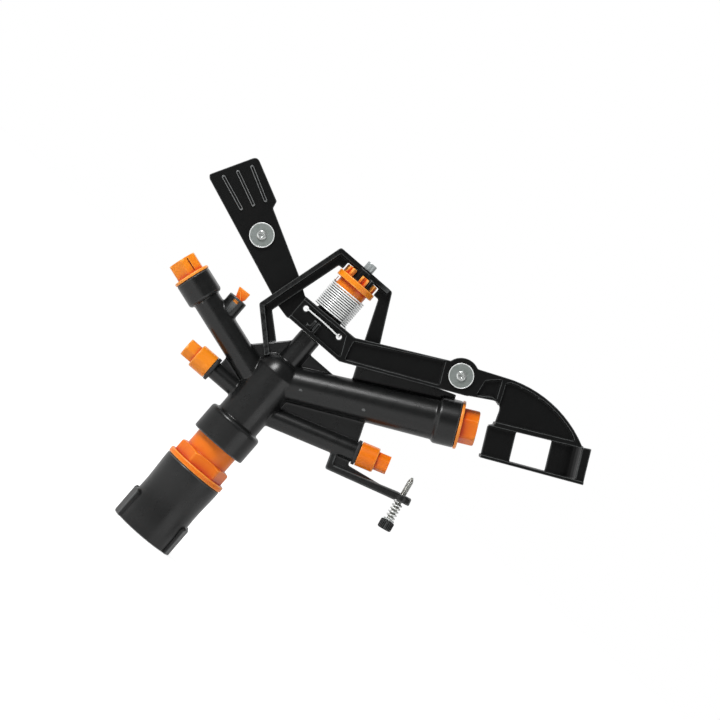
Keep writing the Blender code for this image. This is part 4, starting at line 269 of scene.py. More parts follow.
@dataclass(frozen=True)
class Plastic:
    """Moulded plastic: fine mould texture, uneven gloss and flow marks, with pale edges that are partly
    wear and partly painted highlight, and, for some finishes, painted shade in its recesses.
    """

    name: str
    slot: str
    colour: Colour
    roughness: float
    grain: float = 0.35 * MM
    grain_depth: float = 0.012 * MM
    flow: float = 0.12
    shine: float = 0.5
    # Edge colour: partly wear, partly painted highlight.
    wear_and_sheen: Colour | None = None
    # Colour of painted shade in the piece's recesses.
    deep: Colour | None = None
    dust: float = 0.0
    glow: float = 0.0
    darkest: float = 0.72
    lightest: float = 1.3
    dustiest: float = 6.0
    broad_size: float = 26 * MM
    cloud_size: float = 5 * MM
    speck_size: float = 0.9 * MM
    ripple_size: float = 2.4 * MM
    recess: float = 9 * MM

    def material(self) -> bpy.types.Material:
        """Builds the material.

        Returns:
            The material.
        """
        material, web = blank(self.name)
        broad = web.noise(self.broad_size, 3.0)
        cloud = web.noise(self.cloud_size, 3.0, (1.0, 1.0, 0.5))
        fine = web.noise(self.grain, 2.0)
        tone = (broad - 0.5) * self.flow * 1.4 + (cloud - 0.5) * self.flow + 0.5
        dark, light = scaled(self.colour, self.darkest), scaled(self.colour, self.lightest)
        colour = web.mix(tone, dark, light)
        # Painted shade: the colour turns to the deep colour in the piece's recesses.
        if self.deep:
            colour = web.mix(web.shade_mask(self.recess, 0.60, 0.98), colour, self.deep)
        # Pale sharp edges: partly wear, partly painted highlight.
        if self.wear_and_sheen:
            edge = web.node("ShaderNodeNewGeometry", output="Pointiness")
            wear_and_sheen_mask = web.ramp(edge, ((0.512, 0.0), (0.55, 1.0))) * (0.35 + cloud * 0.9)
            colour = web.mix(wear_and_sheen_mask, colour, self.wear_and_sheen)
        if self.dust:
            specks = web.ramp(web.noise(self.speck_size, 1.0), ((0.70, 0.0), (0.78, 1.0)))
            colour = web.mix(specks * self.dust, colour, scaled(self.colour, self.dustiest))
        gloss = self.roughness + (cloud - 0.5) * 0.16 + (fine - 0.5) * 0.10
        relief = fine * 0.7 + web.noise(self.ripple_size, 2.0) * 0.6
        web.surface(
            {
                "Base Color": colour,
                "Roughness": gloss,
                "Normal": web.bump(relief, self.grain_depth),
                "Subsurface Weight": self.glow,
                "Subsurface Radius": (1.0, 0.35, 0.12),
                "Subsurface Scale": 2.0 * MM,
                "Specular IOR Level": self.shine,
                "IOR": 1.5,
            }
        )
        return material


class Brush(Enum):
    """Way that a metal's surface was worked."""

    TURNED = "rings round the piece's axis"
    DRAWN = "lines along the rod"
    ROLLED = "spots of the plating"


@dataclass(frozen=True)
class Metal:
    """Plated or bare steel with the marks of its making, a painted highlight on its sharp edges and, for
    coils, painted shade between the turns.
    """

    name: str
    slot: str
    colour: Colour
    stain: Colour
    roughness: float
    brush: Brush
    bare: float = 0.6
    # Colour of painted shade between a coil's close turns.
    gap_shade: Colour | None = None
    relief: float = 0.008 * MM
    cloud_size: float = 3.2 * MM
    fine_size: float = 0.3 * MM
    recess: float = 12 * MM

    def material(self) -> bpy.types.Material:
        """Builds the material.

        Returns:
            The material.
        """
        material, web = blank(self.name)
        cloud = web.noise(self.cloud_size, 4.0)
        fine = web.noise(self.fine_size, 2.0)
        if self.brush is Brush.TURNED:
            settings = {"wave_type": "RINGS", "rings_direction": "Z"}
            inputs = {"Vector": web.own_coordinates(), "Scale": 900.0, "Distortion": 1.6, "Detail": 2.0}
            marks = web.node("ShaderNodeTexWave", settings, inputs, "Fac") * 0.5 + fine * 0.5
        elif self.brush is Brush.DRAWN:
            marks = web.noise(0.7 * MM, 2.0, (2.0, 2.0, 0.15))
        else:
            marks = web.noise(0.8 * MM, 3.0)
        spots = web.ramp(cloud, ((0.40, 0.0), (0.62, 1.0)))
        colour = web.mix(spots * 0.8, self.colour, self.stain)
        # Painted highlight: sharp edges turn near-white and lose their metal.
        edge = web.node("ShaderNodeNewGeometry", output="Pointiness")
        edge_highlight = web.ramp(edge, ((0.52, 0.0), (0.57, 1.0)))
        colour = web.mix(edge_highlight, colour, PAINTED_EDGE_HIGHLIGHT)
        # Painted shade: darker between close turns and in recesses.
        if self.gap_shade:
            colour = web.mix(web.shade_mask(self.recess, 0.52, 0.88), colour, self.gap_shade)
        gloss = self.roughness + (cloud - 0.5) * 0.35 + (marks - 0.5) * 0.14
        web.surface(
            {
                "Base Color": colour,
                "Roughness": gloss,
                "Metallic": (1 - edge_highlight) * self.bare,
                "Normal": web.bump(marks, self.relief),
            }
        )
        return material


# Pale edge colour of black plastic: partly wear, partly painted highlight.
BLACK_WEAR_AND_SHEEN = (0.115, 0.120, 0.120)
# Painted shade: orange plastic's colour in its recesses.
SHADED_ORANGE = (0.60, 0.055, 0.006)
# Pale edge colour of orange plastic: partly wear, partly painted highlight.
ORANGE_WEAR_AND_SHEEN = (0.95, 0.42, 0.09)
# Painted shade between a coil's turns.
COIL_GAP_SHADE = (0.015, 0.016, 0.015)
# Painted highlight on metal's sharp edges.
PAINTED_EDGE_HIGHLIGHT = (0.90, 0.92, 0.91)
BLACK = Plastic(
    "black_moulding", "black_plastic", (0.0058, 0.0061, 0.0061), 0.30, shine=0.42, wear_and_sheen=BLACK_WEAR_AND_SHEEN, dust=0.1
)
BLACK_SATIN = replace(
    BLACK,
    name="black_satin",
    colour=(0.0040, 0.0042, 0.0042),
    roughness=0.38,
    grain=0.28 * MM,
    shine=0.15,
    dust=0.12,
)
# Pale glossy black for the lines and end spots round the paddle's beads: painted highlights.
BLACK_HIGHLIGHT = Plastic("black_painted_highlight", "black_plastic", (0.13, 0.135, 0.135), 0.25, shine=0.9)
BLACK_PLAIN = Plastic("black_plain", "black_plastic", (0.0034, 0.0036, 0.0036), 0.38, shine=0.15)
ORANGE = Plastic(
    "orange_moulding",
    "orange_plastic",
    (0.82, 0.175, 0.004),
    0.30,
    shine=0.32,
    grain=0.5 * MM,
    grain_depth=0.006 * MM,
    flow=0.20,
    wear_and_sheen=ORANGE_WEAR_AND_SHEEN,
    deep=SHADED_ORANGE,
    glow=0.08,
)
# Lighter, yellower copy of the orange for pieces that stand in the light: painted light.
ORANGE_LIT_COPY = replace(ORANGE, name="orange_lit_copy", colour=(0.86, 0.235, 0.008), shine=0.36)
WHITE = Plastic("white_moulding", "white_plastic", (0.72, 0.72, 0.68), 0.42, flow=0.08)
RUBBER = Plastic(
    "black_rubber", "rubber", (0.012, 0.012, 0.013), 0.62, grain=0.2 * MM, grain_depth=0.02 * MM
)
ZINC = Metal("zinc_plate", "zinc_steel", (0.32, 0.35, 0.34), (0.24, 0.27, 0.25), 0.36, Brush.ROLLED)
# Pale zinc for the ring on each disc's rim: a painted highlight.
ZINC_HIGHLIGHT = Metal(
    "zinc_painted_highlight", "zinc_steel", (0.88, 0.90, 0.89), (0.66, 0.68, 0.67), 0.30, Brush.ROLLED, 0.35
)
ZINC_ROD = Metal(
    "zinc_rod", "zinc_steel", (0.46, 0.49, 0.49), (0.38, 0.41, 0.41), 0.32, Brush.DRAWN, 0.55
)
ZINC_RIVET = Metal(
    "zinc_rivet", "zinc_steel", (0.62, 0.64, 0.63), (0.34, 0.36, 0.34), 0.26, Brush.ROLLED, 0.7
)
SCREW_STEEL = Metal(
    "screw_steel", "zinc_steel", (0.24, 0.24, 0.21), (0.14, 0.14, 0.12), 0.26, Brush.TURNED, 0.9
)
STEEL = Metal(
    "spring_wire", "spring_steel", (0.86, 0.88, 0.88), (0.74, 0.75, 0.74), 0.26, Brush.ROLLED, 0.5, COIL_GAP_SHADE
)
STEEL_DARK = Metal(
    "spring_wire_dark", "spring_steel", (0.30, 0.30, 0.27), (0.17, 0.17, 0.15), 0.26, Brush.ROLLED, 0.8
)


# Outlines and meshes


def rounded(corners: Sequence[Point], steps: int = 5) -> list[Point]:
    """Outline points with each (a, b, radius) corner turned into an arc.

    Args:
        corners: points with an optional corner radius as third number.
        steps: segments of an arc.

    Returns:
        The outline's points.
    """
    outline: list[Point] = []
    for index, corner in enumerate(corners):
        here = Vector(corner[:2])
        radius = corner[2] if len(corner) > 2 else 0.0
        if radius <= 0.0:
            outline.append(tuple(here))
            continue
        back = (Vector(corners[index - 1][:2]) - here).normalized()
        ahead = (Vector(corners[(index + 1) % len(corners)][:2]) - here).normalized()
        half = back.angle(ahead) / 2
        centre = here + (back + ahead).normalized() * radius / math.sin(half)
        first = here + back * radius / math.tan(half) - centre
        last = here + ahead * radius / math.tan(half) - centre
        turn = first.angle_signed(last)
        for step in range(steps + 1):
            outline.append(tuple(centre + Matrix.Rotation(-turn * step / steps, 2) @ first))
    return outline


def between(one: Point, two: Point, share: float) -> Point:
    """Point at a share of the way from one point to another."""
    return (one[0] + (two[0] - one[0]) * share, one[1] + (two[1] - one[1]) * share)


def dense(profile: Sequence[Point], longest: float) -> list[Point]:
    """Profile whose runs are cut into pieces no longer than a length.

    Args:
        profile: the points.
        longest: the longest piece.

    Returns:
        The points with more between them.
    """
    filled: list[Point] = []
    for one, two in zip(profile, profile[1:]):
        pieces = max(1, math.ceil(math.dist(one[:2], two[:2]) / longest))
        filled += [between(one, two, piece / pieces) for piece in range(pieces)]
    return [*filled, tuple(profile[-1][:2])]


def banded(profile: Sequence[Point], band: float = 0.4) -> list[Point]:
    """Profile with a narrow run beside each end of its long runs, so that wear stays at the edges.

    Args:
        profile: the (radius, height) points.
        band: width of a narrow run.

    Returns:
        The points with more between them.
    """
    filled: list[Point] = []
    closed = profile[0][0] > 0.0
    for one, two in zip(profile, [*profile[1:], profile[0]] if closed else profile[1:]):
        filled.append(tuple(one[:2]))
        length = math.dist(one[:2], two[:2])
        if length > 3 * band:
            filled += [between(one, two, share) for share in (band / length, 1 - band / length)]
    return filled if closed else [*filled, tuple(profile[-1][:2])]


def inset(outline: Sequence[Point], distance: float) -> list[Point]:
    """Closed outline moved inwards by a distance, or outwards by a negative one.

    Args:
        outline: the points.
        distance: how far the edges move.

    Returns:
        The moved points.
    """
    points = [Vector(point[:2]) for point in outline]
    area = sum(a.x * b.y - b.x * a.y for a, b in zip(points, points[1:] + points[:1]))
    side = 1.0 if area > 0 else -1.0
    moved: list[Point] = []
    for index, here in enumerate(points):
        back = (here - points[index - 1]).normalized()
        ahead = (points[(index + 1) % len(points)] - here).normalized()
        bisector = (Vector((-back.y, back.x)) + Vector((-ahead.y, ahead.x))) * side
        if bisector.length < 1e-6:
            moved.append(tuple(here))
            continue
        bisector.normalize()
        share = max(0.35, bisector.dot(Vector((-ahead.y, ahead.x)) * side))
        moved.append(tuple(here + bisector * distance / share))
    return moved


def linked(name: str, data: bpy.types.ID) -> Item:
    """New object of the scene with a mesh, curve, camera or light."""
    item = bpy.data.objects.new(name, data)
    bpy.context.collection.objects.link(item)
    return item


def welded(mesh: bpy.types.Mesh, nearest: float, outwards: bool = True) -> bpy.types.Mesh:
    """Mesh with points that lie together made one.

    Args:
        mesh: the mesh.
        nearest: least distance in metres that keeps points apart.
        outwards: whether the faces are turned outwards too.

    Returns:
        The mesh.
    """
    shape = bmesh.new()
    shape.from_mesh(mesh)
    bmesh.ops.remove_doubles(shape, verts=shape.verts, dist=nearest)
    if outwards:
        bmesh.ops.recalc_face_normals(shape, faces=shape.faces)
    shape.to_mesh(mesh)
    shape.free()
    return mesh


def mesh_object(name: str, vertices: list[Point], faces: list[Sequence[int]]) -> Item:
    """Object made from vertices and faces, with its faces turned outwards.

    Args:
        name: the object's name.
        vertices: the points.
        faces: the corners of each face.

    Returns:
        The object.
    """
    mesh = bpy.data.meshes.new(name)
    mesh.from_pydata(vertices, [], faces)
    return linked(name, welded(mesh, 1e-7))


def stacked(name: str, loops: Sequence[Sequence[Point]]) -> Item:
    """Closed solid through loops of points.

    Args:
        name: the object's name.
        loops: from one end to the other, with as many points in each, in metres.

    Returns:
        The object.
    """
    count = len(loops[0])
    vertices = [point for loop in loops for point in loop]
    total = len(vertices)
    faces: list[Sequence[int]] = [tuple(range(count)), tuple(range(total - count, total))]
    for start in range(0, total - count, count):
        for index in range(count):
            after = (index + 1) % count
            faces.append((start + index, start + after, start + count + after, start + count + index))
    return mesh_object(name, vertices, faces)


def turned(
    name: str, profile: Sequence[Point], steps: int = 96, shape: Shape | None = None, start: float = 0.0
) -> Item:
    """Solid turned about Z from (radius, height) points in millimetres.

    Args:
        name: the object's name.
        profile: the points. One that starts on the axis also ends there.
        steps: corners of a full turn.
        shape: new radius from (radius, height, angle), for flats, threads, ribs and lugs.
        start: angle of the first corner.

    Returns:
        The object.
    """
    vertices: list[Point] = []
    rings: list[list[int]] = []
    for radius, height in banded(profile):
        first = len(vertices)
        if radius <= 0.0:
            vertices.append((0.0, 0.0, height * MM))
            rings.append([first] * steps)
            continue
        for step in range(steps):
            angle = start + 2 * math.pi * step / steps
            reach = (shape(radius, height, angle) if shape else radius) * MM
            vertices.append((reach * math.cos(angle), reach * math.sin(angle), height * MM))
        rings.append(list(range(first, first + steps)))
    pairs = list(zip(rings, rings[1:]))
    if profile[0][0] > 0.0:
        pairs.append((rings[-1], rings[0]))
    faces = []
    for lower, upper in pairs:
        for step in range(steps):
            after = (step + 1) % steps
            corners = (lower[step], lower[after], upper[after], upper[step])
            faces.append(tuple(dict.fromkeys(corners)))
    return mesh_object(name, vertices, [face for face in faces if len(face) > 2])


def slab(name: str, outline: Sequence[Point], near: float, far: float, edge: float = 0.0) -> Item:
    """Plate with its outline in XZ and its thickness along Y, in millimetres.

    Args:
        name: the object's name.
        outline: the (x, z) points.
        near: Y of the front face.
        far: Y of the back face.
        edge: radius of its rounded edges.

    Returns:
        The object.
    """
    layers = [(near, 0.0), (far, 0.0)]
    if edge:
        turns = [math.pi / 2 * step / 3 for step in range(4)]
        sides = [(edge * (1 - math.cos(a)), edge * (1 - math.sin(a))) for a in turns]
        layers = [(near + depth, cut) for depth, cut in sides]
        layers += [(far - depth, cut) for depth, cut in reversed(sides)]
    return stacked(
        name, [[(x * MM, depth * MM, z * MM) for x, z in inset(outline, cut)] for depth, cut in layers]
    )


def final_mesh(item: Item) -> bpy.types.Mesh:
    """Mesh of an object as its curve or its modifiers make it."""
    bpy.context.view_layer.update()
    made = item.evaluated_get(bpy.context.evaluated_depsgraph_get())
    return bpy.data.meshes.new_from_object(made)


def wire(name: str, points: Sequence[Vector], diameter: float, sides: int = 4) -> Item:
    """Round wire along points in millimetres, with closed ends.

    Args:
        name: the object's name.
        points: its centreline.
        diameter: its thickness.
        sides: how round the section is.

    Returns:
        The mesh object.
    """
    curve = bpy.data.curves.new(name, "CURVE")
    curve.dimensions = "3D"
    curve.bevel_depth = diameter / 2 * MM
    curve.bevel_resolution = sides
    curve.use_fill_caps = True
    spline = curve.splines.new("POLY")
    spline.points.add(len(points) - 1)
    for point, place in zip(spline.points, points):
        point.co = (*(Vector(place) * MM), 1.0)
    source = linked(f"{name}_line", curve)
    mesh = final_mesh(source)
    bpy.data.objects.remove(source, do_unlink=True)
    return linked(name, welded(mesh, 1e-6))


def helix(radius: float, low: float, high: float, turns: float) -> list[Vector]:
    """Centreline of a coil about Z, in millimetres.

    Args:
        radius: its radius.
        low: height of its start.
        high: height of its end.
        turns: how often it goes round.

    Returns:
        Its points.
    """
    count = round(turns * COIL_STEPS)
    points = []
    for index in range(count + 1):
        angle = 2 * math.pi * index / COIL_STEPS
        height = low + (high - low) * index / count
        points.append(Vector((radius * math.cos(angle), radius * math.sin(angle), height)))
    return points


def lay(item: Item, place: Point, direction: Point) -> Item:
    """Puts an object's Z along a direction.

    Args:
        item: the object.
        place: where its origin goes, in millimetres.
        direction: where its Z points.

    Returns:
        The object.
    """
    aim = Vector(direction).to_track_quat("Z", "Y").to_matrix().to_4x4()
    item.matrix_world = Matrix.Translation(Vector(place) * MM) @ aim
    return item


class Way(Enum):
    """Way that a tool's shape works on an object."""

    CUT = "DIFFERENCE"
    JOIN = "UNION"


def worked(item: Item, kind: str, settings: dict[str, object]) -> Item:
    """Object with a modifier worked into its mesh.

    Args:
        item: the object.
        kind: the modifier's type.
        settings: its properties.

    Returns:
        The object.
    """
    modifier = item.modifiers.new("Work", kind)
    for name, value in settings.items():
        setattr(modifier, name, value)
    mesh = final_mesh(item)
    item.modifiers.clear()
    item.data = mesh
    return item


def combined(item: Item, way: Way, *tools: Item) -> Item:
    """Object with each tool's shape taken out of it or joined to it.

    Args:
        item: the object.
        way: whether the tools cut or join.
        tools: closed shapes, which are used up.

    Returns:
        The object.
    """
    for tool in tools:
        worked(item, "BOOLEAN", {"operation": way.value, "solver": "MANIFOLD", "object": tool})
        bpy.data.objects.remove(tool, do_unlink=True)
    return item


def gathered(name: str, items: Sequence[Item]) -> Item:
    """One object with the meshes of several, which are used up.

    Args:
        name: the object's name.
        items: the objects.

    Returns:
        The object.
    """
    shape = bmesh.new()
    for item in items:
        item.data.transform(item.matrix_world)
        shape.from_mesh(item.data)
        bpy.data.objects.remove(item, do_unlink=True)
    mesh = bpy.data.meshes.new(name)
    shape.to_mesh(mesh)
    shape.free()
    return linked(name, mesh)


def moulded(
    name: str, items: Sequence[Item], grid: float = 0.4, passes: int = 2, keep: float = 0.3
) -> Item:
    """Shapes run together into one skin with softly rounded edges and corners, as moulded.

    Args:
        name: the object's name.
        items: closed shapes, which are used up.
        grid: width of the skin's cells in millimetres.
        passes: times that the skin is smoothed.
        keep: share of the faces that is kept.

    Returns:
        The object.
    """
    skin = gathered(name, items)
    worked(skin, "REMESH", {"mode": "VOXEL", "voxel_size": grid * MM})
    worked(skin, "SMOOTH", {"factor": 0.5, "iterations": passes})
    return worked(skin, "DECIMATE", {"ratio": keep})


def copied(node: Item, name: str) -> Item:
    """New object with a welded copy of a node's mesh."""
    return linked(name, welded(node.data.copy(), 1e-6, outwards=False))


def smooth_step(value: float, low: float, high: float) -> float:
    """Share from 0 to 1 between two limits, with soft ends."""
    share = min(1.0, max(0.0, (value - low) / (high - low)))
    return share * share * (3 - 2 * share)


def hexagon(
    across: float, turn: float, soft: float, beyond: float, low: float, high: float = math.inf
) -> Shape:
    """Radius of a turned piece with six flats on a part of it.

    Args:
        across: distance from the axis to a flat.
        turn: angle of a corner in degrees.
        soft: how much the corners are rounded.
        beyond: radius inside which it stays round.
        low: height below which it stays round.
        high: height above which it stays round.

    Returns:
        Function from (radius, height, angle) to the radius with the flats.
    """
    sector = 2 * math.pi / 6
    cap = across / math.cos(sector / 2) - soft

    def shape(radius: float, height: float, angle: float) -> float:
        """Radius with the flats."""
        if radius <= beyond or not low < height < high:
            return radius
        flat = across / math.cos((angle - math.radians(turn)) % sector - sector / 2)
        blend = max(soft - abs(flat - cap), 0.0) / soft
        return min(radius, min(flat, cap) - blend * blend * soft / 4)

    return shape


@dataclass(frozen=True)
class Axis:
    """Line of a nozzle in the XZ plane, which starts on the riser's axis. Millimetres."""

    height: float
    degrees: float

    @property
    def direction(self) -> Vector:
        """Unit vector along the line."""
        angle = math.radians(self.degrees)
        return Vector((math.cos(angle), 0.0, math.sin(angle)))

    def point(self, along: float, across: float = 0.0) -> Point:
        """XZ point at a distance along the line, and square to it upwards."""
        run = self.direction
        upward = 1.0 if run.x > 0 else -1.0
        return (
            along * run.x - upward * across * run.z,
            self.height + along * run.z + upward * across * run.x,
        )

    def lay(self, item: Item, along: float = 0.0) -> Item:
        """Puts an object's Z along the line."""
        x, z = self.point(along)
        return lay(item, (x, 0.0, z), self.direction)


MAIN = Axis(120.9, 27.25)
REAR = Axis(112.1, 163.0)
LOWER_REAR = Axis(101.9, 180.0)
LOWER_FRONT = Axis(98.8, 18.2)

# The tap's boss stands upright on the rear nozzle's line
TAP_BOSS = 17.4
TAP_X, TAP_FOOT = REAR.point(47.5 / math.cos(math.radians(17.0)))
TAP_TOP = TAP_FOOT + TAP_BOSS

# The breaker screw's place in its block, and its upward direction
BREAKER_TILT = math.radians(11.0)
BREAKER = Vector((104.3, 0.0, 117.492))
BREAKER_UP = Vector((-math.sin(BREAKER_TILT), 0.0, math.cos(BREAKER_TILT)))


@dataclass
class Assembly:
    """Pieces that are made and dressed together."""

    nodes: dict[str, Item]
    body: str = "head"

    def paint(self, finish: Plastic | Metal) -> bpy.types.Material:
        """Material of a finish, made once."""
        return bpy.data.materials.get(finish.name) or finish.material()

    def show(
        self,
        item: Item,
        finish: Plastic | Metal,
        *stands_for: str,
        body: str | None = None,
        sharp: float = USUAL,
    ) -> Item:
        """Dresses a piece and lets it ride on its body.

        Args:
            item: the piece.
            finish: its finish.
            stands_for: the nodes that it replaces.
            body: the body that carries it.
            sharp: angle in degrees above which an edge stays hard.

        Returns:
            The piece.
        """
        item.data.shade_smooth()
        item.data.set_sharp_from_angle(angle=math.radians(sharp))
        item.data.materials.clear()
        item.data.materials.append(self.paint(finish))
        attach(item, body or self.body)
        if stands_for:
            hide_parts(*stands_for)
        LOG.info("%s: %d faces", item.name, len(item.data.polygons))
        return item

    def keep(self, finish: Plastic | Metal, *names: str) -> None:
        """Gives nodes that stay as they are their finish.

        Args:
            finish: the finish.
            names: the nodes.
        """
        for name in names:
            node = self.nodes[name]
            node.data.materials.clear()
            node.data.materials.append(self.paint(finish))
            for slot in node.material_slots:
                slot.material = self.paint(finish)
            LOG.info("%s: kept", name)


# Base


@dataclass
class Base(Assembly):
    """Socket with grip lugs and a pipe thread, and the orange sleeve above it."""

    body: str = "base"
    socket_radius: float = 19.6
    socket_top: float = 48.2
    waist: float = 0.7
    waist_place: float = 0.56
    waist_half: float = 0.42
    lug_reach: float = 21.1
    lug_half: float = 3.5
    lug_top: float = 19.8
    lug_corner: float = 2.5
    lug_angles: tuple[float, ...] = (24.0, 164.0, 204.0, 344.0)
    thread_radius: float = 15.15
    thread_depth: float = 1.15
    thread_pitch: float = 2.309
    thread_low: float = 0.9
    thread_top: float = 21.4
    hex_across: float = 15.7
    hex_turn: float = -110.0

    def build(self) -> None:
        """Builds and dresses every piece."""
        self.socket()
        self.sleeve()
        self.keep(RUBBER, "inlet_gasket", "sleeve_gasket")

    def socket_reach(self, radius: float, height: float, angle: float) -> float:
        """Radius of the socket's wall, with lugs outside and the pipe thread inside."""
        if radius > 17.5:
            share = (height / self.socket_top - self.waist_place) / self.waist_half
            reach = radius
            if abs(share) < 1.0:
                reach -= self.waist * 0.5 * (1 + math.cos(math.pi * share))
            for centre in self.lug_angles:
                local = (angle - math.radians(centre) + math.pi) % (2 * math.pi) - math.pi
                if abs(local) > 0.5:
                    continue
                side = abs(self.socket_radius * math.sin(local))
                corner = max(side - 1.0, 0.0)
                top = self.lug_top - self.lug_corner
                top += math.sqrt(max(self.lug_corner**2 - corner**2, 0.0))
                inside = smooth_step(-side, -self.lug_half - 0.2, -self.lug_half + 0.25)
                inside *= smooth_step(-height, -top - 0.3, -top + 0.3)
                outer = min(self.lug_reach, self.lug_reach - 0.6 + height * 2) / math.cos(local)
                reach = reach + (outer - reach) * inside
            return reach
        if radius < 15.4 and self.thread_low < height < self.thread_top:
            turn = (height / self.thread_pitch - angle / (2 * math.pi)) % 1.0
            ridge = min(1.0, max(0.0, 0.5 + (abs(turn - 0.5) - 0.25) * 3.2))
            fade = smooth_step(height, self.thread_low, self.thread_low + 1.5)
            fade *= smooth_step(-height, -self.thread_top, -19.8)
            return radius + self.thread_depth * (1 - ridge) * fade
        return radius

    def socket(self) -> None:
        """Builds the socket as one turned wall."""
        wall, bore, top = self.socket_radius, self.thread_radius, self.socket_top
        outer = dense([(19.0, 0.0), (19.45, 0.25), (wall, 0.8), (wall, 23.0)], 0.5)
        outer += dense([(wall, 24.0), (wall, 47.4)], 2.4) + [(19.45, 47.9), (19.1, top)]
        inner = [(16.75, top), (16.75, 46.5), (bore, 46.5), (bore, 25.0), (12.4, 25.0)]
        inner += [(12.4, 22.0), (bore, 22.0)]
        inner += dense([(bore, self.thread_top), (bore, self.thread_low)], 0.33) + [(16.4, 0.0)]
        shell = turned("socket_moulding", outer + inner, 240, self.socket_reach)
        self.show(shell, BLACK, "inlet_socket", sharp=THREADED)

    def sleeve(self) -> None:
        """Builds the orange nut with its flange and barrel."""
        flats = hexagon(self.hex_across, self.hex_turn, 0.35, 14.6, 51.9, 59.75)
        profile = [(9.95, 33.5), (14.05, 33.5), (14.85, 34.3), (14.85, 48.5), (19.9, 48.5, 0.5)]
        profile = rounded([*profile, (19.9, 51.8, 0.7), (18.3, 51.8, 0.3), (18.3, 51.95)], 3)
        profile += dense([(18.3, 52.0), (18.3, 57.0)], 1.0)
        profile += dense([(18.3, 57.1), (17.7, 58.4), (16.9, 59.1), (15.6, 59.55)], 0.25)
        profile += rounded([(15.0, 59.6), (14.2, 59.7, 0.3), (14.2, 77.9, 0.9), (9.95, 77.9)], 3)
        nut = turned("sleeve_moulding", profile, 240, flats, math.radians(self.hex_turn))
        self.show(nut, ORANGE, "bearing_sleeve", sharp=CRISP)


# Bearing and nozzle body


@dataclass
class Bearing(Assembly):
    """Tube in the sleeve with its washers and spring, mostly out of sight."""

    spring_turns: int = 4
    spring_radius: float = 11.12
    spring_wire: float = 1.6
    spring_low: float = 80.2
    spring_high: float = 90.7

    def build(self) -> None:
        """Builds and dresses every piece."""
        self.keep(WHITE, "bearing_tube", "thrust_washer", "dust_washer")
        self.keep(RUBBER, "seal_washer")
        line = helix(self.spring_radius, self.spring_low, self.spring_high, self.spring_turns)
        coil = wire("pressure_coil", line, self.spring_wire)
        self.show(coil, STEEL, "pressure_spring", sharp=COILED)


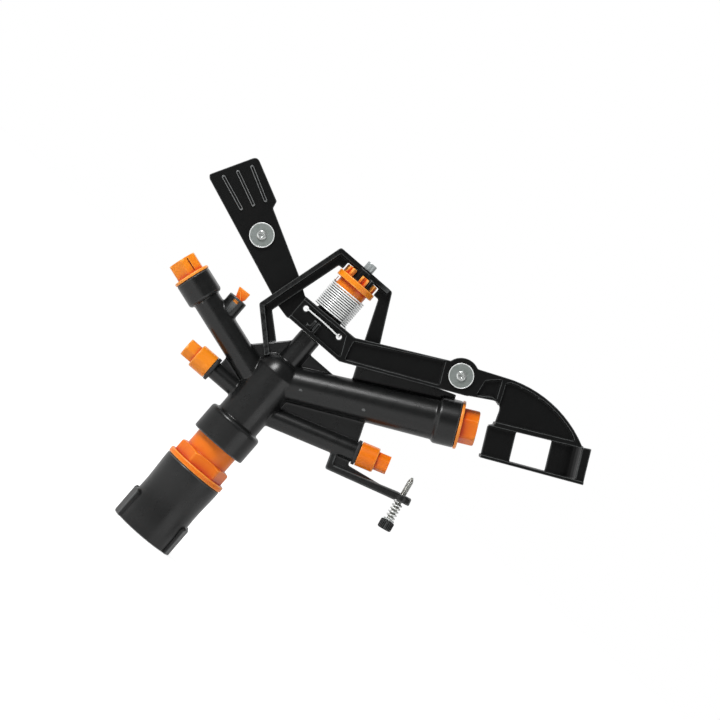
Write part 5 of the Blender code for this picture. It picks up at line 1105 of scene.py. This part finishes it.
@dataclass
class NozzleBody(Assembly):
    """Black moulding: skirt, column, neck, four tubes, plates and the breaker's bracket."""

    plate_half: float = 1.5
    grid: float = 0.52
    skirt_radius: float = 18.0
    skirt_low: float = 69.9
    skirt_top: float = 87.7
    column_radius: float = 14.3
    shoulder_low: float = 125.2
    shoulder_arc: Point = (28.0, 72.0)
    shoulder_inwards: float = 5.3
    shoulder_rise: float = 8.7
    neck_radius: float = 7.1
    neck_top: float = 154.8
    tube_start: float = 4.3
    bracket_half: float = 3.6
    bracket_degrees: float = 17.7
    block_radius: float = 4.4
    block_half: float = 2.3
    boss_radius: float = 6.1

    def build(self) -> None:
        """Builds and dresses the moulding."""
        shapes = [self.column(), *self.tubes(), *self.plates(), *self.bracket(), self.tap_boss()]
        body = moulded("body_moulding", shapes, self.grid, 3, 0.6)
        self.show(combined(body, Way.CUT, *self.holes()), BLACK, "nozzle_body", sharp=SKIN)

    def column(self) -> Item:
        """Skirt with its hollow, column, rounded shoulder and neck."""
        wide, base, skirt_top = self.column_radius, self.shoulder_low, self.skirt_top
        skirt = [(15.2, self.skirt_low), (self.skirt_radius, self.skirt_low, 0.4)]
        skirt = rounded([*skirt, (self.skirt_radius, skirt_top, 2.2), (wide, skirt_top), (wide, base)])
        shoulder = []
        low, high = (math.radians(degrees) for degrees in self.shoulder_arc)
        for step in range(1, 10):
            angle = low + (high - low) * step / 9
            drop = (math.cos(low) - math.cos(angle)) / (math.cos(low) - math.cos(high))
            rise = (math.sin(angle) - math.sin(low)) / (math.sin(high) - math.sin(low))
            shoulder.append((wide - self.shoulder_inwards * drop, base + self.shoulder_rise * rise))
        neck, top = self.neck_radius, self.neck_top
        end = [(7.3, 134.2), (neck, 134.8), (neck, top), (0.0, top)]
        hollow = [(0.0, 91.4), (13.4, 91.4), (13.4, 81.0), (15.2, 79.7)]
        return turned("column", hollow + skirt + shoulder + end)

    def tubes(self) -> list[Item]:
        """The four nozzle tubes with their collars."""
        low = self.tube_start
        main = [(0.0, low), (10.9, low), (12.62, 99.9), (13.3, 99.9, 0.4), (14.3, 101.4, 1.0)]
        main += [(14.3, 113.5), (11.6, 113.5), (11.6, 108.0), (0.0, 108.0)]
        rear = [(0.0, low), (8.4, low), (8.4, 64.9), (10.0, 64.9, 0.4), (11.0, 66.2, 0.9)]
        rear += [(11.0, 80.0), (8.9, 80.0), (8.9, 76.0), (0.0, 76.0)]
        lower_rear = [(0.0, low), (5.3, low), (5.3, 40.5), (0.0, 40.5)]
        lower_front = [(0.0, low), (6.3, low), (6.3, 78.4), (0.0, 78.4)]
        lines = ((MAIN, main), (REAR, rear), (LOWER_REAR, lower_rear), (LOWER_FRONT, lower_front))
        return [axis.lay(turned("tube", rounded(profile, 3))) for axis, profile in lines]

    def plates(self) -> list[Item]:
        """Flat webs between the tubes, round the neck and under the bridge's front leg."""
        neck = [(0.0, self.shoulder_low), (-20.6, 123.6), (-23.6, 128.9), (-6.6, 146.6), (49.9, 146.6)]
        rear = [(-8.6, 101.9), (-30.1, 101.9), REAR.point(31.5), (-8.6, 112.1)]
        low = LOWER_FRONT.point(68.1)
        middle = LOWER_FRONT.point(68.1, 9.0)
        front = [(8.6, 98.8), low, middle, (middle[0] - 6.1, middle[1] + 14.7), (8.6, 120.9)]
        gusset = [(28.65, 167.7), (37.3, 147.7), (40.3, 141.8), MAIN.point(107.0, 6.4)]
        gusset += [MAIN.point(108.7, 17.0), (40.35, 167.7)]
        half = self.plate_half
        return [
            slab(f"plate_{index}", outline, -half, half)
            for index, outline in enumerate((neck, rear, front, gusset))
        ]

    def bracket(self) -> list[Item]:
        """Bracket under the lower front nozzle: a thin web in a deep frame, and the block."""
        start = LOWER_FRONT.point(55.2, -2.0)
        low = Vector(LOWER_FRONT.point(55.8, -16.1))
        lean = math.radians(self.bracket_degrees)
        slope = Vector((math.cos(lean), math.sin(lean)))
        rise = Vector((-slope.y, slope.x))
        side = Vector((BREAKER_UP.z, -BREAKER_UP.x))
        wide, half = self.block_radius, self.block_half
        far = Vector((BREAKER.x, BREAKER.z)) + side * wide + slope * 1.6 - rise * half
        notch = Vector(LOWER_FRONT.point(68.0, -9.0))
        leg = Vector(LOWER_FRONT.point(59.0, -2.0))
        inner = low + slope * 3.6 + rise * 4.0
        frame = [start, (*low, 1.2), tuple(far), tuple(far + rise * 4.6)]
        frame += [tuple(far - slope * 10.1 + rise * 5.5), tuple(inner), tuple(leg)]
        web_end = far - slope * 9.6
        web = [start, tuple(low + slope + rise), tuple(web_end), tuple(web_end + rise * 4.0)]
        web += [tuple(notch), LOWER_FRONT.point(68.0, -2.0)]
        block = turned("block", [(0, -half), (wide, -half), (wide, half), (0, half)], 48)
        deep = self.bracket_half
        return [
            slab("bracket_frame", rounded(frame), -deep, deep),
            slab("bracket_web", web, -self.plate_half, self.plate_half),
            lay(block, BREAKER, BREAKER_UP),
        ]

    def tap_boss(self) -> Item:
        """Boss of the jet tap on the rear tube."""
        wide = self.boss_radius
        boss = turned("tap_boss", [(0, 0), (wide, 0), (wide, TAP_BOSS), (0, TAP_BOSS)], 64)
        return lay(boss, (TAP_X, 0, TAP_FOOT), UP)

    def holes(self) -> list[Item]:
        """Holes of the tap, its window, the pin and the breaker screw."""
        x, top = TAP_X, TAP_TOP
        hole = [(0, top - 9.0), (4.2, top - 9.0), (4.2, top - 3.5), (5.2, top - 3.5)]
        hole += [(5.2, top - 1.3), (4.2, top - 1.3), (4.2, top + 1), (0, top + 1)]
        pane = [(x - 1.95, top - 3.3, 0.5), (x + 1.95, top - 3.3, 0.5)]
        pane += [(x + 1.95, top - 1.5, 0.5), (x - 1.95, top - 1.5, 0.5)]
        low = -self.block_half
        room = [(0, -14.3), (4.5, -14.3), (4.5, low), (2.2, low), (2.2, 5), (0, 5)]
        return [
            lay(turned("plug_hole", hole, 64), (x, 0, 0), UP),
            slab("window", rounded(pane, 3), -7.2, -4.4),
            lay(turned("screw_hole", room, 48), BREAKER, BREAKER_UP),
            turned("pin_hole", [(0, 136.0), (3.6, 136.0), (3.6, 153), (6.45, 153), (6.45, 156), (0, 156)]),
        ]


# Nozzles


@dataclass
class Nozzles(Assembly):
    """Orange nozzles and caps, their rings and the insert behind the main nozzle."""

    main_place: float = 113.8
    main_across: float = 9.61
    main_turn: float = -23.0
    rear_place: float = 80.3
    rear_across: float = 8.4

    def build(self) -> None:
        """Builds and dresses every piece."""
        self.main_nozzle()
        self.rear_nozzle()
        tip = hexagon(5.72, 0.0, 0.3, 4.6, 11.4)
        self.cap("lower_rear", LOWER_REAR, 5.6, 7.7, 32.9, tip, ORANGE_LIT_COPY)
        tip = hexagon(5.2, -22.0, 0.3, 4.6, 11.4)
        self.cap("lower_front", LOWER_FRONT, 6.6, 7.6, 70.8, tip, ORANGE)
        self.keep(RUBBER, "main_nozzle_seal", "rear_nozzle_seal")
        self.keep(WHITE, "stream_straightener")

    def main_nozzle(self) -> None:
        """Main nozzle: ring, hexagon and a conical way in."""
        ring = [(9.3, -9.4), (11.3, -9.4), (11.3, 0.0), (14.7, 0.0, 0.3), (14.7, 1.8, 0.7), (11.4, 1.8)]
        profile = rounded(ring, 3) + dense([(11.1, 2.0), (11.1, 10.3)], 0.8)
        profile += rounded([(11.1, 10.4), (10.0, 11.5, 0.5), (4.6, 11.5, 0.3), (4.0, 10.9)], 4)
        profile += [(4.0, 1.8)]
        flats = hexagon(self.main_across, self.main_turn, 0.4, 8.0, 1.9)
        nozzle = MAIN.lay(turned("main_nozzle_moulding", profile, 180, flats), self.main_place)
        self.show(nozzle, ORANGE, "main_nozzle", sharp=CRISP)

    def rear_nozzle(self) -> None:
        """Rear nozzle: ring and a six-sided hollow tip with a slot in its end and a narrow slit."""
        ring = [(0.0, -9.4), (8.6, -9.4), (8.6, 0.0), (11.4, 0.0, 0.3), (11.4, 1.8, 0.7), (9.9, 1.8)]
        profile = rounded(ring, 3) + dense([(9.7, 2.0), (9.7, 11.0)], 0.9)
        profile += rounded([(9.7, 11.1), (8.9, 12.2, 0.5), (0.0, 12.2)], 4)
        tip = turned("rear_nozzle_moulding", profile, 180, hexagon(self.rear_across, 0.0, 0.35, 8.0, 1.9))
        hollow = turned("hollow", [(0.0, -10.5), (6.6, -10.5), (6.4, 1.0), (6.4, 10.2), (0.0, 10.2)], 64)
        slit = slab("slit", [(5.9, 2.6), (10.5, 2.6), (10.5, 11.2), (5.9, 11.2)], 3.2, 3.95)
        slot = slab("slot", [(-1.3, 8.0), (1.3, 8.0), (1.3, 13.0), (-1.3, 13.0)], -5.5, 5.5)
        REAR.lay(combined(tip, Way.CUT, hollow, slit, slot), self.rear_place)
        self.show(tip, ORANGE_LIT_COPY, "rear_nozzle", sharp=CRISP)

    def cap(
        self,
        name: str,
        axis: Axis,
        bore: float,
        radius: float,
        reach: float,
        flats: Shape,
        finish: Plastic,
    ) -> None:
        """Cap of a lower nozzle, with its six-sided tip, and the ring below it.

        Args:
            name: start of the nodes' names.
            axis: the nozzle's axis.
            bore: radius of the tube's seat.
            radius: outer radius of the cap.
            reach: place of its inner end along the axis.
            flats: shape of its six-sided tip.
            finish: the cap's finish.
        """
        profile = rounded([(bore, 0.0), (radius, 0.0, 0.3), (radius, 11.3, 0.8), (6.7, 11.3)], 4)
        profile += dense([(6.65, 11.45), (6.65, 18.0)], 0.9)
        profile += rounded([(6.65, 18.1), (5.7, 19.1, 0.5), (2.6, 19.1, 0.3), (2.2, 18.6)], 3)
        profile += [(2.2, 9.0), (bore, 9.0)]
        cap = axis.lay(turned(f"{name}_cap_moulding", profile, 120, flats), reach + 0.3)
        self.show(cap, finish, f"{name}_cap", sharp=CRISP)
        wide = radius + 0.1
        profile = rounded([(bore, -2.2), (wide, -2.2, 0.5), (wide, 0.0, 0.5), (bore, 0.0)], 3)
        self.show(axis.lay(turned(f"{name}_ring", profile), reach), RUBBER, f"{name}_seal")


# Bridge and pin


@dataclass
class Bridge(Assembly):
    """Black frame over the arm, with the fulcrum pin."""

    pin_radius: float = 3.3
    pin_low: float = 136.3
    pin_high: float = 212.2

    def build(self) -> None:
        """Builds and dresses every piece."""
        frame = moulded("bridge_moulding", [copied(self.nodes["bridge"], "bridge_copy")])
        self.show(frame, BLACK_SATIN, "bridge", sharp=SKIN)
        radius = self.pin_radius
        profile = [(0, self.pin_low), (radius, self.pin_low), (radius, self.pin_high, 0.45)]
        profile = rounded([*profile, (0, self.pin_high)], 4)
        self.show(turned("pin_rod", profile, 64), ZINC_ROD, "fulcrum_pin")
        washer = turned("hub_ring", [(3.5, 153.1), (6.3, 153.1), (6.3, 154.9), (3.5, 154.9)], 64)
        self.show(washer, WHITE, "hub_washer")


# Impact arm


@dataclass
class ImpactArm(Assembly):
    """Impact arm with its bushes, weights, rivets and spring."""

    body: str = "impact_arm_body"
    coil_radius: float = 11.5
    coil_turns: float = 12.5
    coil_wire: float = 1.04
    coil_low: float = 172.75
    coil_high: float = 190.3
    coil_pressed: float = 0.775
    leg_reach: float = 12.9
    leg_height: float = 166.0
    leg_before: float = -10.65
    leg_behind: float = -5.0
    leg_bend: float = 1.1
    bead_start: Point = (-94.0, 209.4)
    bead_step: Point = (-4.5, -7.9)
    bead_degrees: float = -27.5
    bead_fan: float = 3.6
    bead_length: float = 23.4
    bead_outer: float = 1.15
    bead_half: float = 0.80
    bead_rise: float = 0.50
    bead_crest: float = 1.7
    bead_count: int = 3
    disc_radius: float = 7.6
    disc_thickness: float = 1.2
    weights: tuple[tuple[str, float, float, float, float], ...] = (
        ("front", 83.2, 196.1, -12.0, -1.8),
        ("rear", -62.0, 181.9, 2.4, 5.4),
    )

    def build(self) -> None:
        """Builds and dresses every piece."""
        tool = slab("front_tool", [(-107, 183), (-69, 183), (-69, 214), (-107, 214)], -1.0, 2.38)
        plain = combined(copied(self.nodes["impact_arm"], "arm_copy"), Way.CUT, tool)
        self.show(moulded("arm_moulding", [plain]), BLACK_SATIN, "impact_arm", sharp=SKIN)
        beads = [self.bead(index) for index in range(self.bead_count)]
        self.show(gathered("paddle_beads", beads), BLACK_PLAIN)
        # Painted highlights: pale lines round the beads and a glint at each end.
        edges = [self.bead_highlight(index) for index in range(self.bead_count)]
        self.show(gathered("bead_highlights", edges), BLACK_HIGHLIGHT)
        self.keep(WHITE, "arm_bush_lower", "arm_bush_upper")
        for weight in self.weights:
            self.weight(*weight)
        leg, turns = self.spring_lines()
        self.show(wire("arm_spring_leg", leg, self.coil_wire), STEEL, sharp=COILED)
        coil = self.show(wire("arm_coil", turns, self.coil_wire), STEEL, "arm_spring", sharp=COILED)
        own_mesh(coil)

    def capsule(self, half: float) -> list[Point]:
        """Outline of a bead, with a half width."""
        straight = self.bead_length / 2 - half
        turns = [(end, -math.pi / 2 + math.pi * step / 8) for end in (1, -1) for step in range(9)]
        return [(end * (straight + half * math.cos(a)), end * half * math.sin(a)) for end, a in turns]

    def place_bead(self, item: Item, index: int) -> Item:
        """Puts a bead's piece on the paddle's front.

        Args:
            item: the piece.
            index: 0 for the uppermost bead.

        Returns:
            The piece.
        """
        angle = math.radians(self.bead_degrees + self.bead_fan * index)
        start, step, half = self.bead_start, self.bead_step, self.bead_length / 2
        middle_x = start[0] + step[0] * index + half * math.cos(angle)
        middle_z = start[1] + step[1] * index + half * math.sin(angle)
        shift = Matrix.Translation(Vector((middle_x, self.bead_crest, middle_z)) * MM)
        item.matrix_world = shift @ Matrix.Rotation(-angle, 4, "Y")
        return item

    def bead(self, index: int) -> Item:
        """Long raised bead with round ends."""
        return self.place_bead(slab("bead", self.capsule(self.bead_outer), 0.05, 0.9, 0.4), index)

    def bead_highlight(self, index: int) -> Item:
        """Painted highlight round a bead: a pale glossy line along its flanks, with a painted glint at each
        end.
        """
        line = [Vector((x, 0.0, z)) for x, z in self.capsule(self.bead_half)]
        end_glints = [wire("bead_glint", [line[4] * side, line[4] * side * 0.93], 0.95) for side in (1, -1)]
        edge = gathered("edge", [wire("highlight_line", [*line, line[0]], self.bead_rise, 3), *end_glints])
        return self.place_bead(edge, index)

    def weight(self, name: str, x: float, z: float, face: float, back: float) -> None:
        """Steel disc and the rivet through it.

        Args:
            name: front or rear.
            x: place of its centre.
            z: height of its centre.
            face: Y of the arm's front face there.
            back: Y of the arm's back face there.
        """
        place = (x, face - 0.3, z)
        wide, thick = self.disc_radius, self.disc_thickness
        profile = rounded([(2.2, 0.0), (wide, 0.0, 0.35), (wide, thick, 0.35), (2.2, thick)], 3)
        self.show(lay(turned(f"{name}_disc", profile), place, FRONT), ZINC, f"{name}_weight")
        # Painted highlight: a pale zinc ring on the disc's outer rim.
        profile = rounded([(7.05, 1.0), (wide, 1.0), (wide, 1.3, 0.15), (7.05, 1.3, 0.15)], 3)
        self.show(lay(turned(f"{name}_rim", profile), place, FRONT), ZINC_HIGHLIGHT)
        tail = face - back - 0.6
        profile = [(0.0, tail - 0.84), (3.0, tail - 0.84, 0.3), (3.0, tail), (1.9, tail), (1.9, 1.5)]
        profile += [(3.0, 1.5), (3.0, 2.2, 0.4), (2.3, 2.7, 0.5), (1.35, 2.7, 0.3), (1.0, 1.7, 0.3)]
        rivet = turned(f"{name}_rivet_steel", rounded([*profile, (0.0, 1.7)], 4), 64)
        self.show(lay(rivet, place, FRONT), ZINC_RIVET, f"{name}_rivet")

    def spring_lines(self) -> tuple[list[Vector], list[Vector]]:
        """Centrelines of the spring's leg across the hub's front, and of its coil."""
        reach, drop, before, behind = self.leg_reach, self.leg_height, self.leg_before, self.leg_behind
        corners = [
            Vector((-reach, behind - 0.6, drop + 0.4)),
            Vector((-reach, before, drop + 0.4)),
            Vector((0.0, before, drop + 0.5)),
            Vector((reach, before, drop)),
            Vector((reach, behind, drop)),
            Vector((reach - 0.4, behind, self.coil_low)),
            Vector((self.coil_radius, -2.4, self.coil_low)),
        ]
        path = [corners[0]]
        for back, here, ahead in zip(corners, corners[1:], corners[2:]):
            first = here + (back - here).normalized() * self.leg_bend
            last = here + (ahead - here).normalized() * self.leg_bend
            for step in range(9):
                share = step / 8
                path.append(first.lerp(here, share).lerp(here.lerp(last, share), share))
        path += [corners[-1], Vector((self.coil_radius, 0.0, self.coil_low))]
        coil = helix(self.coil_radius, self.coil_low, self.coil_high, self.coil_turns)
        coil.append(coil[-1] + Vector((0.1, -0.5, 0.6)))
        coil.append(coil[-1] + Vector((0.1, -0.2, 2.4)))
        return path, coil


# Spring retainer, jet tap and jet breaker


@dataclass
class Retainer(Assembly):
    """Orange cap over the arm's spring, with tabs that lock on the bridge."""

    body: str = "retainer"
    base: float = 194.3
    top: float = 198.1
    radius: float = 13.0
    tab_count: int = 6
    tab_outer: float = 11.3
    tab_inner: float = 8.1
    tab_top: float = 203.0
    tab_degrees: float = 27.0
    tab_edge: float = 0.35
    turn: float = 13.0

    def build(self) -> None:
        """Builds and dresses the cap."""
        base, top, foot = self.base, self.top, self.base - 6.0
        profile = [(3.65, base), (9.0, base), (9.0, foot), (9.9, foot), (9.9, base)]
        profile += [(self.radius, base, 0.4), (self.radius, top, 0.5), (3.65, top)]
        cap = turned("retainer_moulding", rounded(profile, 3))
        for index in range(self.tab_count):
            combined(cap, Way.JOIN, self.tab(-90.0 + self.turn + 360.0 * index / self.tab_count))
        self.show(cap, ORANGE_LIT_COPY, "spring_retainer", sharp=CRISP)

    def tab(self, degrees: float) -> Item:
        """Tab with a channel in its outer face.

        Args:
            degrees: its place round the axis.

        Returns:
            The tab.
        """
        half = math.radians(self.tab_degrees / 2)
        low, high = (self.top - 1.0) * MM, self.tab_top * MM
        depths = [0.0, 0.0, 0.0, 1.3, 1.3, 1.3, 0.0, 0.0, 0.0]
        section = [(self.tab_outer - depth, -half + half * step / 4) for step, depth in enumerate(depths)]
        section += [(self.tab_inner, half - 2 * half * step / 8) for step in range(9)]
        middle = math.radians(degrees)
        edge = self.tab_edge
        layers = ((low, 0.0), (high - edge * MM, 0.0), (high - edge * 0.3 * MM, 0.2), (high, edge))
        loops = []
        for height, cut in layers:
            loop = []
            for reach, angle in section:
                inward = cut if reach > self.tab_inner else -cut
                squeeze = 1 - cut / (half * self.tab_outer)
                place = middle + angle * squeeze
                radius = (reach - inward) * MM
                loop.append((radius * math.cos(place), radius * math.sin(place), height))
            loops.append(loop)
        return stacked("tab", loops)


@dataclass
class JetTap(Assembly):
    """Orange plug with its wedge-shaped flag."""

    body: str = "tap"
    plug_radius: float = 3.9
    plug_depth: float = 8.6
    flag_length: float = 7.8
    flag_height: float = 6.3

    def build(self) -> None:
        """Builds and dresses the tap."""
        x, top, radius = TAP_X, TAP_TOP, self.plug_radius
        profile = [(0, top - self.plug_depth), (radius, top - self.plug_depth, 0.3)]
        profile += [(radius, top - 3.3), (5.05, top - 3.3), (5.05, top - 1.5), (radius, top - 1.5)]
        profile = rounded([*profile, (radius, top, 0.4), (2.3, top + 0.3), (0, top + 0.3)], 3)
        plug = turned("tap_moulding", profile, 64)
        plug.data.transform(Matrix.Translation((x * MM, 0, 0)))
        front = self.flag_length * 0.47
        high = top + self.flag_height
        end = x + front - self.flag_length
        flag = [(x - front * 0.3, top - 1.0), (x + front * 0.55, top - 1.0), (x + front, top + 1.6, 0.4)]
        flag += [(x + front, high, 0.4), (end, high - 0.3, 0.3), (end, high - 1.2, 0.3)]
        flag = rounded([*flag, (x - front * 0.7, top + 0.8)], 3)
        combined(plug, Way.JOIN, slab("flag", flag, -1.2, 1.2, 0.3))
        self.show(plug, ORANGE, "jet_tap", sharp=CRISP)


@dataclass
class JetBreaker(Assembly):
    """Pointed screw with its knob, washer and spring."""

    thread_radius: float = 1.9
    core_radius: float = 1.65
    thread_pitch: float = 0.9
    knob_radius: float = 4.4
    flutes: int = 24
    flute_depth: float = 0.32
    spring_turns: int = 5
    spring_wire: float = 0.95
    spring_radius: float = 2.75
    spring_low: float = -13.8
    spring_high: float = -3.0
    spring_pressed: float = 0.61

    def build(self) -> None:
        """Builds and dresses every piece."""
        centre, up = BREAKER, BREAKER_UP
        screw = lay(self.screw(), centre, up)
        self.show(screw, SCREW_STEEL, "breaker_screw", body="breaker_turning", sharp=THREADED)
        knob = lay(self.knob(), centre, up)
        self.show(knob, BLACK_SATIN, "breaker_knob", body="breaker_turning", sharp=THREADED)
        profile = rounded([(2.2, -15.3), (3.52, -15.3, 0.2), (3.52, -14.5, 0.2), (2.2, -14.5)], 3)
        washer = lay(turned("breaker_disc", profile, 64), centre, up)
        self.show(washer, ZINC, "breaker_washer", body="breaker_carriage")
        low = self.spring_low
        line = helix(self.spring_radius, low, self.spring_high, self.spring_turns)
        coil = lay(wire("breaker_coil", line, self.spring_wire), centre, up)
        self.show(coil, STEEL_DARK, "breaker_spring", body="breaker_carriage", sharp=COILED)
        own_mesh(coil)

    def screw(self) -> Item:
        """Screw with a fine thread and a blunt point."""

        def ridged(radius: float, height: float, angle: float) -> float:
            """Radius with the thread's ridge, which fades out on the point."""
            turn = (height / self.thread_pitch - angle / (2 * math.pi)) % 1.0
            ridge = max(0.0, 1 - abs(turn - 0.5) * 3.0)
            share = min(1.0, radius / self.core_radius)
            return radius + (self.thread_radius - self.core_radius) * ridge * share

        profile = [(0.0, -19.8), (self.core_radius, -19.8)]
        profile += dense([(self.core_radius, -19.6), (self.core_radius, 11.1)], 0.15)
        profile += dense([(self.core_radius, 11.2), (0.5, 13.9)], 0.15) + [(0.0, 14.3)]
        return turned("breaker_rod", profile, 32, ridged)

    def knob(self) -> Item:
        """Black knob with fine flutes round it."""
        wide = self.knob_radius

        def fluted(radius: float, height: float, angle: float) -> float:
            """Radius with the flutes."""
            if radius < wide - 0.05:
                return radius
            return radius - self.flute_depth * (0.5 + 0.5 * math.cos(angle * self.flutes)) ** 2

        profile = [(0.0, -21.4), (3.7, -21.4, 0.2), (wide, -20.8, 0.1), (wide, -16.2, 0.1)]
        profile = rounded([*profile, (3.7, -15.6, 0.2), (2.2, -15.6)], 3)
        profile += [(2.2, -20.1), (0.0, -20.1)]
        return turned("knob_moulding", dense(profile, 1.2), 192, fluted)


# Studio


@dataclass(frozen=True)
class Lamp:
    """Soft rectangular lamp that faces the object."""

    name: str
    place: Point
    width: float
    height: float
    power: float


@dataclass
class Studio:
    """Pale floor, white surroundings, soft lamps and the camera."""

    roll: float = 40.90
    distance: float = 1.75
    eye_x: float = 0.0269
    eye_height: float = 0.1641
    aim_x: float = 0.0315
    aim_height: float = 0.1638
    field_width: float = 0.4314
    side_light: float = 0.43
    mirrored_light: tuple[Point, ...] = ((0.30, 0.12), (0.55, 0.28), (0.80, 0.70))
    floor_half: float = 6
    floor_height: float = -0.0004
    floor_glow: float = 0.66
    floor_mirrored: float = 0.3
    lit_point: Point = (0.03, 0.0, 0.12)
    lamps: tuple[Lamp, ...] = (
        Lamp("key", (-0.60, -0.62, 0.80), 0.36, 0.36, 10.0),
        Lamp("fill", (0.85, -0.60, -0.05), 0.8, 0.8, 2.8),
        Lamp("rear", (0.1, 0.9, 0.9), 0.8, 0.5, 1.5),
    )

    def build(self) -> None:
        """Sets up everything that isn't the object."""
        self.camera()
        self.world()
        self.floor()
        for lamp in self.lamps:
            self.lamp(lamp)
        bpy.context.scene.view_settings.view_transform = "Standard"

    def camera(self) -> None:
        """Camera at the photograph's angle, turned about its own line of sight."""
        data = bpy.data.cameras.new("camera")
        camera = linked("camera", data)
        turn = math.radians(self.roll)
        right = Vector((math.cos(turn), 0.0, math.sin(turn)))
        upward = Vector((-math.sin(turn), 0.0, math.cos(turn)))
        back = Vector((0.0, -1.0, 0.0))
        eye = Vector((self.eye_x, -self.distance, self.eye_height))
        camera.matrix_world = Matrix.Translation(eye) @ Matrix((right, upward, back)).transposed().to_4x4()
        data.sensor_width = 36.0
        data.lens = data.sensor_width * self.distance / self.field_width
        offset = Vector((self.aim_x, 0.0, self.aim_height)) - Vector((self.eye_x, 0.0, self.eye_height))
        data.shift_x = offset.dot(right) / self.field_width
        data.shift_y = offset.dot(upward) / self.field_width
        data.clip_start = 0.01
        data.clip_end = 50.0
        bpy.context.scene.camera = camera

    def world(self) -> None:
        """White surroundings, darker on the side that the camera stands on, and a level of light."""
        world = bpy.data.worlds.new("surroundings")
        bpy.context.scene.world = world
        world.use_nodes = True
        web = NodeWeb(world.node_tree)
        way = web.node("ShaderNodeTexCoord", output="Generated")
        towards = {0: way, 1: (0.0, 1.0, 0.0)}
        depth = web.node("ShaderNodeVectorMath", {"operation": "DOT_PRODUCT"}, towards, "Value")
        gloss = web.ramp(depth * 0.5 + 0.5, self.mirrored_light)
        path = web.node("ShaderNodeLightPath", output="Is Glossy Ray")
        seen = self.seen(web)
        strength = seen + (1 - seen) * (path * gloss + (1 - path) * self.side_light)
        shader = web.node("ShaderNodeBackground", None, {"Color": (1, 1, 1, 1), "Strength": strength})
        web.finish(shader, "ShaderNodeOutputWorld")

    @staticmethod
    def seen(web: NodeWeb) -> Port:
        """1 for the eye, also through glass, and 0 for light and reflections."""
        path = web.node("ShaderNodeLightPath", output="Is Camera Ray")
        through = web.node("ShaderNodeLightPath", output="Is Transmission Ray")
        return path.larger(through)

    def floor(self) -> None:
        """Floor under the socket."""
        mesh = bpy.data.meshes.new("floor")
        half = self.floor_half
        corners = [(-half, -half), (half, -half), (half, half), (-half, half)]
        mesh.from_pydata([(*corner, self.floor_height) for corner in corners], [], [(0, 1, 2, 3)])
        item = linked("floor", mesh)
        item.data.materials.append(self.paper())

    def paper(self) -> bpy.types.Material:
        """White paper that stays white to the eye and keeps soft shadows.

        Returns:
            The material.
        """
        material, web = blank("floor_paper")
        diffuse = web.node("ShaderNodeBsdfDiffuse", None, {"Color": (0.86, 0.86, 0.86, 1)})
        shiny = web.node("ShaderNodeLightPath", output="Is Glossy Ray")
        level = self.seen(web).larger(shiny * self.floor_mirrored) * self.floor_glow
        glow = web.node("ShaderNodeEmission", None, {"Color": (1, 1, 1, 1), "Strength": level})
        web.finish(web.node("ShaderNodeAddShader", None, {0: diffuse, 1: glow}))
        return material

    def lamp(self, lamp: Lamp) -> None:
        """Adds a lamp.

        Args:
            lamp: its place, size and power.
        """
        data = bpy.data.lights.new(lamp.name, "AREA")
        data.shape = "RECTANGLE"
        data.size = lamp.width
        data.size_y = lamp.height
        data.energy = lamp.power
        item = linked(lamp.name, data)
        aim = Vector(self.lit_point) - Vector(lamp.place)
        item.location = lamp.place
        item.rotation_mode = "QUATERNION"
        item.rotation_quaternion = aim.to_track_quat("-Z", "Y")


def main() -> None:
    """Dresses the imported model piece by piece."""
    logging.basicConfig(level=logging.INFO, format="%(message)s")
    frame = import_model()
    nodes = frame["nodes"]
    Studio().build()
    for assembly in (Base, Bearing, NozzleBody, Nozzles, Bridge, ImpactArm, Retainer, JetTap, JetBreaker):
        LOG.info("%s", assembly.__name__)
        assembly(nodes=nodes).build()
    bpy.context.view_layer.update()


if __name__ == "__main__":
    main()
